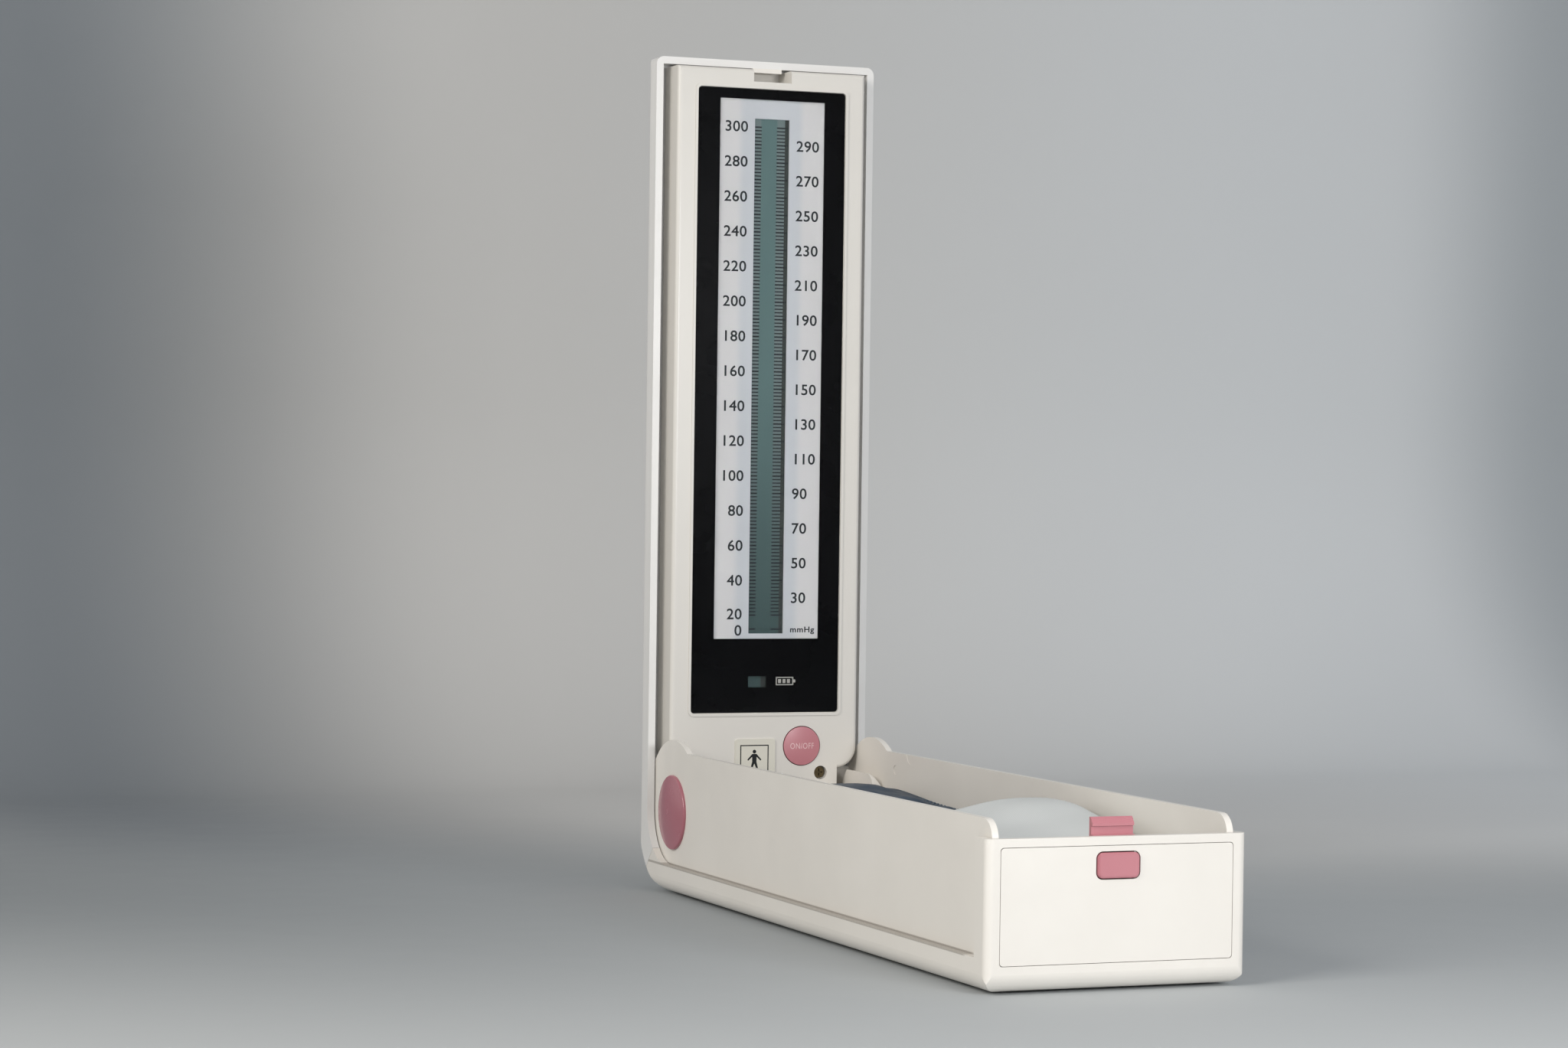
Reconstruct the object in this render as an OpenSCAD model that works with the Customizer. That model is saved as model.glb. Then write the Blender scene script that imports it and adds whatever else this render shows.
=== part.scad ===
// Mercury-free desk sphygmomanometer: a hinged case whose lid stands upright and
// carries a column display, above a tray that holds the folded cuff.
// Millimetres. X runs across the case, Y from the front to the hinge, Z up.
// The model stands open. Its origin is the middle of its footprint, on the table.

/* [Case] */
// Width over the lid and the lower band
body_w = 97; // [95:0.5:101]
// Distance from the hinge axis to the front face, and from the axis to the lid's free end
reach = 310; // [304:1:326]
// Outer radius of the case about the hinge axis, half the closed height of the case
hinge_r = 32.5; // [32:0.25:34]
// Depth of the lid's rim and of the lower band, measured from their outer faces
shell_depth = 11.2; // [10.6:0.2:11.8]
// Thickness of the outer side walls and end walls
wall_t = 3; // [2.6:0.1:3.2]
// Thickness of the bottom and of the lid's back
skin_t = 2.4; // [2:0.1:2.6]
// Angle below the horizontal at which the lid meets the base, seen from the side
seam_angle = 48; // [44:1:52]
// Gap left at that seam when the lid stands open
seam_gap = 0.2; // [0.1:0.05:0.4]
// Radius of the case's bottom edges
edge_r = 6; // [4:0.5:6.5]
// Radius of the upright corners at the front
corner_r = 2.6; // [2:0.2:4]
// Radius of the upright corners at the back of the lid
back_r = 4.5; // [3:0.5:5]
// Radius of the lid's two outer corners, seen from the front
lid_corner_r = 3.2; // [2:0.2:5]

/* [Front wall] */
// Gap between the top of the front wall and the rim of the closed lid
rim_gap = 2.7; // [2.4:0.1:3]
// Length of the full-height return at each front corner
return_l = 9; // [8.6:0.2:11]
// Gap round the cover plate that is let into the front wall
cover_gap = 0.2; // [0.15:0.05:0.4]
// Width of the frame left below the cover plate
cover_low_rim = 9; // [8:0.5:11]
// Width of the frame left above the cover plate
cover_top_rim = 3.1; // [2.8:0.1:3.6]
// Width of the frame left at each side of the cover plate
cover_side_rim = 5.3; // [4.5:0.1:7]
// Thickness of the cover plate
cover_t = 1.9; // [1.6:0.1:2]

/* [Tray] */
// Thickness of the tray's side walls, front wall and floor
tray_t = 2.4; // [2:0.1:2.5]
// Clearance between the tray's walls and the lid's walls
tray_gap = 0.5; // [0.4:0.05:0.7]
// Height of the tray's side walls above the rim of the closed lid
side_rise = 3.5; // [2.5:0.1:4.5]
// Distance of the tray's front wall below the closed display's face
tray_front_drop = 1.9; // [1.4:0.1:4]
// Clearance between the round ears and the inside of the lid
ear_gap = 0.6; // [0.4:0.1:0.8]
// Radius of the corner where the side wall drops to the front wall
side_drop_r = 7; // [5:0.5:8]
// Radius of the hollow blend between the side wall's top edge and the ear
ear_blend_r = 4; // [2:0.5:6]
// Angle above the horizontal at which the rear barrel wall ends
barrel_angle = 32; // [28:1:34]

/* [Display housing] */
// Distance that the display's face stands in front of the lid's rim
face_proud = 7.4; // [7:0.1:7.8]
// Gap between the housing's sides and the lid's walls
housing_gap = 3.9; // [3.6:0.1:4.6]
// Gap between the housing's neck and each hinge cheek
neck_gap = 4.5; // [4.2:0.1:5]
// Height above the hinge axis at which the housing narrows to its neck
shoulder_v = 15.8; // [15.6:0.1:17]
// Clearance between the housing's free end and the lid's end wall
end_gap = 1; // [0.9:0.1:1.6]
// Thickness of the housing's face
face_t = 2.6; // [2.4:0.1:2.8]
// Thickness of the housing's other walls
housing_t = 1.6; // [1.4:0.1:1.8]
// Radius along the front edges of the housing
face_edge_r = 1.5; // [1:0.1:1.8]
// Clearance round the latch hook in the notch of the housing's free end
notch_gap = 0.6; // [0.5:0.1:1]

/* [Screen] */
// Width of the face left at each side of the glossy window
window_side_rim = 8.9; // [8.4:0.1:10]
// Width of the face left above the window
window_top_rim = 8.3; // [7.5:0.1:10]
// Height of the window's lower edge above the hinge axis
window_v = 39.3; // [38.4:0.1:41]
// Thickness of the window
window_t = 1.5; // [1.2:0.1:1.6]
// Width of the window left at each side of the pale scale area
scale_side_rim = 9.4; // [8:0.1:10.4]
// Width of the window left above the scale area
scale_top_rim = 4.1; // [4:0.1:6]
// Height of the scale area's lower edge above the hinge axis
scale_v = 70; // [69:0.2:71.6]
// Distance of the scale area's centre from the middle of the case, to the right
scale_x = 0.8; // [0:0.1:1]
// Width of the column cell that shows the pressure
column_w = 15.4; // [13:0.1:17]
// Width of the scale area left above the column
column_top_rim = 7.9; // [6:0.1:10]
// Height of the column's lower end above the hinge axis
column_v = 72.1; // [71.8:0.1:73]
// Width of the small indicator cell under the scale
indicator_w = 8.2; // [7:0.1:9]
// Height of the small indicator cell
indicator_h = 4.6; // [4:0.1:5.4]
// Distance of the indicator cell's centre from the middle of the case, to the left
indicator_x = 2.9; // [2:0.1:6]
// Height of the indicator cell's centre above the hinge axis
indicator_v = 52.1; // [51:0.1:56]

/* [Controls] */
// Diameter of the power button
button_d = 16; // [15:0.1:17]
// Distance of the power button's centre from the right side of the neck
button_side = 16.1; // [15.6:0.1:17]
// Height of the power button's centre above the hinge axis
button_v = 25.3; // [25:0.1:26.6]
// Distance that the power button stands proud of the face
button_proud = 0.9; // [0.6:0.05:1]
// Travel of the power button
button_travel = 0.8; // [0.5:0.05:0.85]
// Diameter of the screw recesses in the face
recess_d = 5.7; // [5.2:0.1:6]
// Distance of each screw recess from the side of the neck
recess_side = 7.4; // [6:0.1:7.6]
// Height of the screw recesses above the hinge axis
recess_v = 14; // [13.6:0.1:14.6]

/* [Hinge] */
// Diameter of the hinge pins
pin_d = 6; // [5:0.1:6.2]
// Radial running clearance of the hinge and latch pins
run_gap = 0.05; // [0.03:0.01:0.08]
// Diameter of the round caps over the hinge pins
cap_d = 30.4; // [28:0.2:32]
// Height of the caps above the ears
cap_h = 2.3; // [2:0.1:2.6]
// Radius of the hinge lugs
lug_r = 9; // [8:0.1:9.4]
// Width of each hinge lug
lug_w = 10; // [9:0.2:10.6]
// Thickness of the hinge cheeks
cheek_t = 4.9; // [4.4:0.1:5]
// Height of the cheeks' flat top above the hinge axis
cheek_top = 15.1; // [14:0.1:15.2]
// Distance of the cheeks' straight front edge before the hinge axis
cheek_front = 13.8; // [13:0.1:14.4]
// Radius of the corner between the cheeks' top and their front edge
cheek_round = 6; // [3:0.5:8]
// Width of the bevel along the cheeks' outer upper edge
cheek_bevel = 4.2; // [1:0.2:4.2]

/* [Latch] */
// Width of the latch button
latch_button_w = 15.6; // [15:0.2:19]
// Height of the latch button
latch_button_h = 8.6; // [8:0.2:10.4]
// Distance of the latch button's centre below the top of the front wall
latch_drop = 9.7; // [9.4:0.1:10.2]
// Distance that the latch button stands proud of the front wall
latch_proud = 0.8; // [0.5:0.05:1]
// Width of the hook on top of the latch
hook_w = 15.6; // [14:0.1:15.8]
// Height of the hook above the front wall
hook_rise = 6.1; // [5.8:0.1:6.3]
// Angle that the latch turns when its button is pressed
latch_angle = 2.6; // [2.4:0.1:2.7]
// Height of the latch pin above the bottom of the case
latch_pin_h = 15; // [14.6:0.2:16]
// Diameter of the latch pin
latch_pin_d = 3; // [2.6:0.1:3.1]

/* [Contents] */
// Distance of the folded cuff's top below the closed display's face
cuff_clear = 4.4; // [3:0.2:10]
// Length of the folded cuff
cuff_l = 158; // [150:1:160]
// Distance of the folded cloth's top below the closed display's face
cloth_clear = 1.4; // [1.2:0.1:8]

/* [Feet and fasteners] */
// Height that the rubber feet lift the case
foot_h = 1; // [0.8:0.1:1.2]
// Diameter of the rubber feet
foot_d = 12; // [10:0.5:13]
// Shank diameter of the case screws
screw_d = 3; // [2.5:0.1:3.2]
// Head diameter of the case screws
screw_head_d = 5.6; // [5:0.1:6]

/* [Battery compartment] */
// Diameter of a battery cell
cell_d = 10.5; // [10.2:0.1:10.5]
// Length of a battery cell with its nub
cell_l = 44.5; // [43:0.5:45]
// Height of the compartment's centre above the hinge axis
battery_v = 196.4; // [180:0.2:210]
// Gap between the battery cover and the opening in the lid
battery_cover_gap = 0.25; // [0.15:0.05:0.4]

/* [Hidden] */
$fn = 72;
eps = 0.01;
big = 400;

// Places along the case. The front face is at front_y and the hinge axis at pivot_y, pivot_z.
total_depth = reach + hinge_r + latch_proud;
front_y = latch_proud - total_depth / 2;
pivot_y = front_y + reach;
pivot_z = foot_h + hinge_r;
half_w = body_w / 2;
inner_half_w = half_w - wall_t;
rim_r = hinge_r - shell_depth;
lid_in_r = hinge_r - skin_t;
ledge_z = foot_h + shell_depth;
closed_rim_z = pivot_z + rim_r;
front_h = closed_rim_z - rim_gap;
lap_angle = 1;

// Tray
tray_out = inner_half_w - tray_gap;
tray_in = tray_out - tray_t;
ear_r = lid_in_r - ear_gap;
barrel_in_r = ear_r - tray_t;
mark_in = 25;
mark_pitch = 15;
tray_z0 = pivot_z - ear_r;
floor_z = tray_z0 + tray_t;
tray_front_y = front_y + return_l;
side_front_y = front_y + wall_t + 0.3;
side_wall_h = closed_rim_z + side_rise;
cheek_x1 = tray_in - 0.4;
cheek_x0 = cheek_x1 - cheek_t;

// Display housing, in the lid's own directions: x across, w back from the axis, v up from it
housing_half = inner_half_w - housing_gap;
neck_half = cheek_x0 - neck_gap;
face_w = rim_r - face_proud;
closed_face_z = pivot_z + face_w;
tray_front_h = closed_face_z - tray_front_drop;
housing_top = reach - wall_t - end_gap;
housing_back = lid_in_r - 0.5;
neck_bottom = 6;
neck_r = barrel_in_r - 0.8;
neck_angle = barrel_angle + 1.5;
neck_pt = [sqrt(neck_r * neck_r - neck_bottom * neck_bottom), neck_bottom];
neck_corner = neck_r * [cos(neck_angle), sin(neck_angle)];
ramp_top = [housing_back, housing_back * tan(neck_angle)];
shoulder_r = housing_half - neck_half;
split_w = rim_r + 1.2;
neck_split_w = face_w + 4;
neck_split_v = shoulder_v + 8;
face_in = face_w + face_t;
back_in = housing_back - housing_t;
room_half = housing_half - housing_t;
room_top = housing_top - housing_t;

// Screen stack
window_w = 2 * (housing_half - window_side_rim);
window_h = housing_top - window_top_rim - window_v;
scale_w = window_w - 2 * scale_side_rim;
scale_h = window_v + window_h - scale_top_rim - scale_v;
column_h = scale_v + scale_h - column_top_rim - column_v;
lip_w = 1.1;
lip_h = 0.4;
sheet_gap = 0.05;
window_w0 = face_w + 0.2;
window_w1 = window_w0 + window_t;
ledge_in = 2.2;
mask_t = 0.5;
mask_w0 = window_w1 + sheet_gap;
plate_t = 0.6;
plate_w0 = mask_w0 + mask_t + sheet_gap;
cell_t = 1.2;
cell_w0 = plate_w0 + plate_t + sheet_gap;
board_w0 = cell_w0 + cell_t + 0.5;
board_t = 1.6;
board_half = neck_half - 3.4;
board_v0 = neck_corner[1] + 4.4;
board_v1 = 150;
board_post_in = 3;
board_post_v = 24;
post_x = board_half - board_post_in;
button_shell = 1.1;
button_x = neck_half - button_side;
recess_x = neck_half - recess_side;
label_w = 17.8;
label_h = 16.9;
label_gap = 3.95;
label_v = 11.6;

// Hinge stack along X
lug_x1 = neck_half;
lug_x0 = neck_half - lug_w;
cheek_r = norm([face_w, shoulder_v]) - 0.6;
bush_r = pin_d / 2 + 1;
collar_r = bush_r + 2;
head_r = pin_d / 2 + 3;
head_t = 1;

// Latch, with y counted back from the front face
latch_y = 5;
latch_plate_y0 = wall_t + 0.7;
latch_plate_t = 1.7;
hook_y0 = wall_t + 1.9;
hook_y1 = hook_y0 + 1.6;
hook_reach = 0.8;
knuckle_r = latch_pin_d / 2 + 1.2;
knuckle_w = latch_button_w + 3;
latch_pin_z = foot_h + latch_pin_h;
latch_button_z = front_h - latch_drop;
hook_z = front_h + hook_rise;
hook_swing = (hook_z - latch_pin_z) * sin(latch_angle);
notch_w = hook_w + 2 * notch_gap;
notch_h = hook_y1 + hook_swing + 0.8 - wall_t - end_gap;
notch_wall = 1.2;
catch_half = hook_w / 2 - 1.4;
catch_l = 8;
cover_z = foot_h + cover_low_rim;
bracket_gap = 0.3;
bracket_t = 2;
catch_t = 0.8;
catch_lip_z = closed_rim_z - 0.8;
catch_lip_t = 1;
nose_z = catch_lip_z + catch_lip_t + 0.2;
button_clear = 0.45;
cover_pocket = cover_t + 0.05;
cover_top_z = front_h - cover_top_rim;
window_top_z = latch_button_z + latch_button_h / 2 + button_clear;

// Contents
cuff_y1 = pivot_y - cheek_r - 1.2;
cuff_lobe_y1 = pivot_y - lug_r - 2;
cuff_y0 = cuff_y1 - cuff_l;
soft_gap = 0.3;
cloth_gap = 10;
cloth_y0 = tray_front_y + tray_t + cloth_gap;
cloth_l = cuff_y0 - soft_gap - cloth_y0;
cuff_top = closed_face_z - cuff_clear;
cloth_top = closed_face_z - cloth_clear;
lobe_in_y = 20;
lobe_in_z = 10;
cuff_half = cheek_x1 - 2.4;

// Fasteners
screw_head_h = 1.6;
pilot_r = screw_d / 2 - 0.25;
base_screw_x = tray_in - 9.6;
base_screw_ys = [tray_front_y + tray_t + cloth_gap / 2, pivot_y - 4];
base_boss_h = 9;
base_screw_l = tray_z0 - foot_h + base_boss_h - 2;
lid_screw_l = 6;
recess_depth = 3.1;
display_screw_grip = 2.6;
foot_x = half_w - edge_r - foot_d / 2 - 1;
foot_off = 14;
foot_ys = [base_screw_ys[0] + foot_off, base_screw_ys[1] - foot_off];
foot_sunk = 1;
lid_screw_x = housing_half - 7.6;
lid_screw_low = 4.7;
lid_screw_down = 24;
lid_screw_vs = [window_v + lid_screw_low, housing_top - lid_screw_down];

// Battery compartment
cell_pitch = cell_d + 1.5;
bay_half_x = cell_l / 2 + 3.4;
bay_half_v = cell_pitch / 2 + cell_d / 2 + 0.8;
bay_floor_w = cell_w0 + cell_t + 0.3;
bay_t = 1;
contact_w = 8;
contact_t = 0.4;
coil_wire = 0.6;
coil_d = 7.2;
coil_tip_d = 4.4;
cell_shift = 0.8;
grip_half = 9;
cell_axis_w = bay_floor_w + bay_t + cell_d / 2 + 0.15;
cover_seat_w = hinge_r - 1.7;
bay_cover_half_x = bay_half_x + 3.4;
bay_cover_half_v = bay_half_v + 5.2;

// Air line
port_r = 2;
port_bore_l = 12;
tube_r = 1.7;
port_w = face_in + tube_r + 0.3;
tube_bore_r = 1;
tube_v0 = neck_bottom + housing_t;
sensor_v = 27;
sensor_size = 10;

// Colours
warm_white = [0.88, 0.87, 0.83];
pale_white = [0.93, 0.93, 0.91];
rose = [0.72, 0.33, 0.40];

// An outline drawn in Y and Z, carried along X
module along_x(x0, x1) {
    translate([x0, 0, 0]) rotate([90, 0, 90]) linear_extrude(x1 - x0) children();
}

// An outline drawn in X and Z, carried along Y
module along_y(y0, y1) {
    translate([0, y1, 0]) rotate([90, 0, 0]) linear_extrude(y1 - y0) children();
}

// A side outline drawn about the hinge axis, w to the back and v upwards
module about_axis(x0, x1) {
    translate([0, pivot_y, pivot_z]) along_x(x0, x1) children();
}

// A plate of the lid: its outline in x and v, carried from w0 to w1
module lid_plate(w0, w1) {
    translate([0, pivot_y, pivot_z]) along_y(w0, w1) children();
}

// A place in the lid, as x, w and v
module lid_at(x, w, v) {
    translate([x, pivot_y + w, pivot_z + v]) children();
}

// A cylinder that points to the back of the lid
module lid_rod(r, w0, w1) {
    translate([0, w1, 0]) rotate([90, 0, 0]) cylinder(r = r, h = w1 - w0);
}

module box(lo, hi) {
    translate(lo) cube(hi - lo);
}

module both_sides() {
    children();
    mirror([1, 0, 0]) children();
}

module rect(x0, y0, x1, y1) {
    translate([x0, y0]) square([x1 - x0, y1 - y0]);
}

// A rectangle between two corners, with four round corners
module round_rect(x0, y0, x1, y1, r) {
    rect(x0 + r, y0, x1 - r, y1);
    rect(x0, y0 + r, x1, y1 - r);
    for (x = [x0 + r, x1 - r], y = [y0 + r, y1 - r]) translate([x, y]) circle(r);
}

// A wedge from the origin between two angles, long enough to cut a circle of radius r
module wedge(r, a0, a1) {
    step = (a1 - a0) / 4;
    polygon(concat([[0, 0]], [for (i = [0:4]) 2 * r * [cos(a0 + i * step), sin(a0 + i * step)]]));
}

module ring_part(r0, r1, a0, a1) {
    intersection() {
        difference() {
            circle(r1);
            circle(r0);
        }
        wedge(r1, a0, a1);
    }
}

// Outer form of the base: side, front and plan outlines crossed with each other
module base_side_outline() {
    rect(front_y + edge_r, foot_h, pivot_y, front_h);
    rect(front_y, foot_h + edge_r, pivot_y, front_h);
    translate([front_y + edge_r, foot_h + edge_r]) circle(edge_r);
    translate([pivot_y, pivot_z]) intersection() {
        circle(hinge_r);
        wedge(hinge_r, -90, -seam_angle);
    }
}

module base_front_outline() {
    rect(-half_w + edge_r, foot_h, half_w - edge_r, front_h);
    rect(-half_w, foot_h + edge_r, half_w, front_h);
    for (side = [-1, 1]) translate([side * (half_w - edge_r), foot_h + edge_r]) circle(edge_r);
}

module case_plan_outline() {
    back_y = pivot_y + hinge_r;
    rect(-half_w, front_y + corner_r, half_w, back_y - back_r);
    rect(-half_w + corner_r, front_y, half_w - corner_r, back_y - back_r);
    rect(-half_w + back_r, front_y + corner_r, half_w - back_r, back_y);
    for (side = [-1, 1]) {
        translate([side * (half_w - corner_r), front_y + corner_r]) circle(corner_r);
        translate([side * (half_w - back_r), back_y - back_r]) circle(back_r);
    }
}

// The band: a low wall all round that turns up about the hinge axis at the back
module band_outline() {
    intersection() {
        base_side_outline();
        union() {
            rect(front_y, foot_h, pivot_y, ledge_z);
            rect(front_y, foot_h, tray_front_y, front_h);
            translate([pivot_y, pivot_z]) ring_part(rim_r, hinge_r, -90 - lap_angle, -seam_angle);
        }
    }
}

// What the base shell leaves free for the tray
module base_room_outline() {
    rect(front_y + wall_t, foot_h + skin_t, pivot_y, big);
    translate([pivot_y, pivot_z]) intersection() {
        circle(hinge_r - skin_t + 0.2);
        rect(-eps, -hinge_r, hinge_r, hinge_r);
    }
}

module latch_brackets() {
    both_sides() difference() {
        box([knuckle_w / 2 + bracket_gap, front_y + wall_t - eps, latch_pin_z - 4],
            [knuckle_w / 2 + bracket_gap + bracket_t, front_y + latch_y + 3, latch_pin_z + 4]);
        translate([0, front_y + latch_y, latch_pin_z]) rotate([0, 90, 0]) cylinder(d = latch_pin_d, h = big);
    }
}

module base_shell() {
    color(warm_white) difference() {
        union() {
            difference() {
                intersection() {
                    along_x(-half_w, half_w) band_outline();
                    along_y(front_y, pivot_y + hinge_r) base_front_outline();
                    linear_extrude(big) case_plan_outline();
                }
                along_x(-inner_half_w, inner_half_w) base_room_outline();
            }
            latch_brackets();
        }
        along_y(front_y - eps, front_y + cover_pocket) cover_outline(cover_gap);
        box([-knuckle_w / 2 - bracket_gap, front_y, latch_pin_z - knuckle_r - 0.6],
            [knuckle_w / 2 + bracket_gap, front_y + wall_t + eps, window_top_z]);
        for (x = [-foot_x, foot_x], y = foot_ys) translate([x, y, foot_h - eps])
            cylinder(d = foot_d + 0.4, h = foot_sunk + eps);
        for (x = [-base_screw_x, base_screw_x], y = base_screw_ys) translate([x, y, foot_h]) {
            translate([0, 0, -eps])
                cylinder(r1 = screw_head_d / 2 + 0.15, r2 = screw_d / 2 + 0.15, h = screw_head_h);
            cylinder(r = screw_d / 2 + 0.15, h = skin_t + 1);
        }
    }
}

// Side wall of the tray with the round ear that carries the hinge pin
function ear_blend_y() = -sqrt(pow(ear_r + ear_blend_r, 2) - pow(side_wall_h - pivot_z + ear_blend_r, 2));

module tray_side_outline() {
    dip = 0.02;
    blend_c = [ear_blend_y(), side_wall_h - pivot_z + ear_blend_r - dip];
    touch = blend_c * ear_r / (ear_r + ear_blend_r);
    difference() {
        union() {
            rect(side_front_y + side_drop_r, tray_z0, pivot_y, side_wall_h);
            rect(side_front_y, tray_z0 + 2, pivot_y, side_wall_h - side_drop_r);
            rect(side_front_y + 2, tray_z0, pivot_y, side_wall_h - side_drop_r);
            translate([side_front_y + 2, tray_z0 + 2]) circle(2);
            translate([side_front_y + side_drop_r, side_wall_h - side_drop_r]) circle(side_drop_r);
            translate([pivot_y, pivot_z]) circle(ear_r);
            translate([pivot_y, pivot_z]) polygon([
                [blend_c[0], side_wall_h - pivot_z - 1], [blend_c[0], side_wall_h - pivot_z],
                touch, [touch[0] + 2, side_wall_h - pivot_z - 1]]);
        }
        translate([pivot_y, pivot_z] + blend_c) circle(ear_blend_r);
    }
}

module tray_floor_outline() {
    rect(tray_front_y, tray_z0, pivot_y, floor_z);
    rect(tray_front_y, tray_z0, tray_front_y + tray_t, tray_front_h);
    translate([pivot_y, pivot_z]) ring_part(barrel_in_r, ear_r, -90, barrel_angle);
}

module inner_tray() {
    boss_top = tray_z0 + base_boss_h;
    mark_y = pivot_y - mark_in;
    color(warm_white) difference() {
        union() {
            both_sides() along_x(tray_in, tray_out) tray_side_outline();
            along_x(-tray_in - eps, tray_in + eps) tray_floor_outline();
            for (x = [-base_screw_x, base_screw_x], y = base_screw_ys)
                translate([x, y, tray_z0]) cylinder(r = screw_d / 2 + 2, h = boss_top - tray_z0);
        }
        translate([-half_w, pivot_y, pivot_z]) rotate([0, 90, 0]) cylinder(d = pin_d, h = body_w);
        for (x = [-base_screw_x, base_screw_x], y = base_screw_ys)
            translate([x, y, tray_z0 - eps]) cylinder(r = pilot_r, h = boss_top - tray_z0 - 1);
        both_sides() {
            translate([tray_in - eps, mark_y, side_wall_h - 7])
                rotate([0, 90, 0]) cylinder(r = 1.9, h = 0.25);
            translate([tray_in - eps, mark_y - mark_pitch, side_wall_h])
                rotate([0, 90, 0]) cylinder(r = 3.6, h = 0.2);
        }
    }
}

// Cover plate let into the front wall, flush with it
module cover_outline(gap) {
    round_rect(-half_w + cover_side_rim - gap, cover_z - gap, half_w - cover_side_rim + gap,
        cover_top_z + gap, 1.2);
}

module latch_button_outline(grow) {
    round_rect(-latch_button_w / 2 - grow, latch_button_z - latch_button_h / 2 - grow,
        latch_button_w / 2 + grow, latch_button_z + latch_button_h / 2 + grow, 2 + grow);
}

module front_cover() {
    color(warm_white) difference() {
        along_y(front_y, front_y + cover_t) cover_outline(0);
        along_y(front_y - 1, front_y + cover_t + 1) latch_button_outline(button_clear);
    }
}

// Lever of the latch: knuckle, plate, hook and button in one moulding
module latch_plate_outline() {
    rect(latch_plate_y0, latch_pin_z, latch_plate_y0 + latch_plate_t, front_h + 0.2);
    rect(latch_plate_y0 + 0.6, front_h - 2, hook_y1, front_h + 0.2);
    rect(hook_y0, front_h - 2, hook_y1, hook_z - 0.6);
    polygon([[hook_y0 - hook_reach, nose_z], [hook_y0 - hook_reach, nose_z + 0.9],
        [hook_y1 - 0.8, hook_z], [hook_y1, hook_z], [hook_y1, nose_z]]);
}

module latch_lever() {
    plate_w = hook_w;
    color(rose) difference() {
        union() {
            translate([0, front_y, 0]) along_x(-plate_w / 2, plate_w / 2) latch_plate_outline();
            translate([-knuckle_w / 2, front_y + latch_y, latch_pin_z]) rotate([0, 90, 0])
                cylinder(r = knuckle_r, h = knuckle_w);
            along_y(front_y, front_y + latch_plate_y0 + eps) latch_button_outline(0);
            for (a = [0:18:72]) along_y(front_y - latch_proud * cos(a), front_y + eps)
                latch_button_outline(latch_proud * (sin(a) - 1));
        }
        translate([-half_w, front_y + latch_y, latch_pin_z]) rotate([0, 90, 0])
            cylinder(r = latch_pin_d / 2 + run_gap, h = body_w);
    }
}

module latch_pin() {
    reach_x = knuckle_w / 2 + bracket_gap + bracket_t;
    color("silver") translate([-reach_x, front_y + latch_y, latch_pin_z]) rotate([0, 90, 0])
        cylinder(d = latch_pin_d, h = 2 * reach_x);
}

// Leaf spring: stands on the tray's front wall and leans on the back of the lever
module latch_spring() {
    leaf_t = 0.4;
    heel_y = return_l - leaf_t - 0.05;
    tip_y = latch_plate_y0 + latch_plate_t + 0.05;
    foot_z = latch_pin_z + 8;
    knee_z = foot_z + 6;
    tip_z = latch_button_z - 2;
    color("silver") translate([0, front_y, 0]) along_x(-3, 3) {
        rect(heel_y, foot_z, heel_y + leaf_t, knee_z);
        polygon([
            [heel_y, knee_z - 0.2], [heel_y + leaf_t, knee_z],
            [tip_y + leaf_t, tip_z], [tip_y, tip_z]
        ]);
        rect(tip_y, tip_z - eps, tip_y + leaf_t, tip_z + 2);
        polygon([
            [tip_y, tip_z + 2 - eps], [tip_y + leaf_t, tip_z + 2 - eps],
            [tip_y + 1.2, tip_z + 4], [tip_y + 0.8, tip_z + 4]
        ]);
    }
}

// Hinge cheek: a disc cut flat on top and in front, standing on the tray floor beside the ear
module cheek_shape() {
    out = cheek_r + cheek_round;
    top_z = pivot_z + cheek_top;
    bevel_slope = 1.5;
    difference() {
        about_axis(cheek_x0, cheek_x1) {
            intersection() {
                circle(cheek_r);
                round_rect(-cheek_front, -out, out, cheek_top, cheek_round);
            }
            intersection() {
                rect(-cheek_front, floor_z - pivot_z + 0.05, cheek_front, 0);
                union() {
                    circle(barrel_in_r - 0.05);
                    rect(-cheek_front, -ear_r, 0, 0);
                }
            }
        }
        along_y(pivot_y - out, pivot_y + out) polygon([
            [cheek_x1 - cheek_bevel - 1, top_z + bevel_slope],
            [cheek_x1 + 1, top_z - bevel_slope * (cheek_bevel + 1)],
            [cheek_x1 + 1, top_z + bevel_slope]
        ]);
        about_axis(-half_w, half_w) circle(d = pin_d);
    }
}

module hinge_cheek_left() {
    color(warm_white) mirror([1, 0, 0]) cheek_shape();
}

module hinge_cheek_right() {
    color(warm_white) cheek_shape();
}

module pin_shape() {
    translate([lug_x0 - 0.8, pivot_y, pivot_z])
        rotate([0, 90, 0]) cylinder(d = pin_d, h = tray_out - lug_x0 + 0.8);
    translate([tray_out, pivot_y, pivot_z]) rotate([0, 90, 0]) cylinder(r = head_r, h = head_t);
}

module hinge_pin_left() {
    color("silver") mirror([1, 0, 0]) pin_shape();
}

module hinge_pin_right() {
    color("silver") pin_shape();
}

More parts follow.
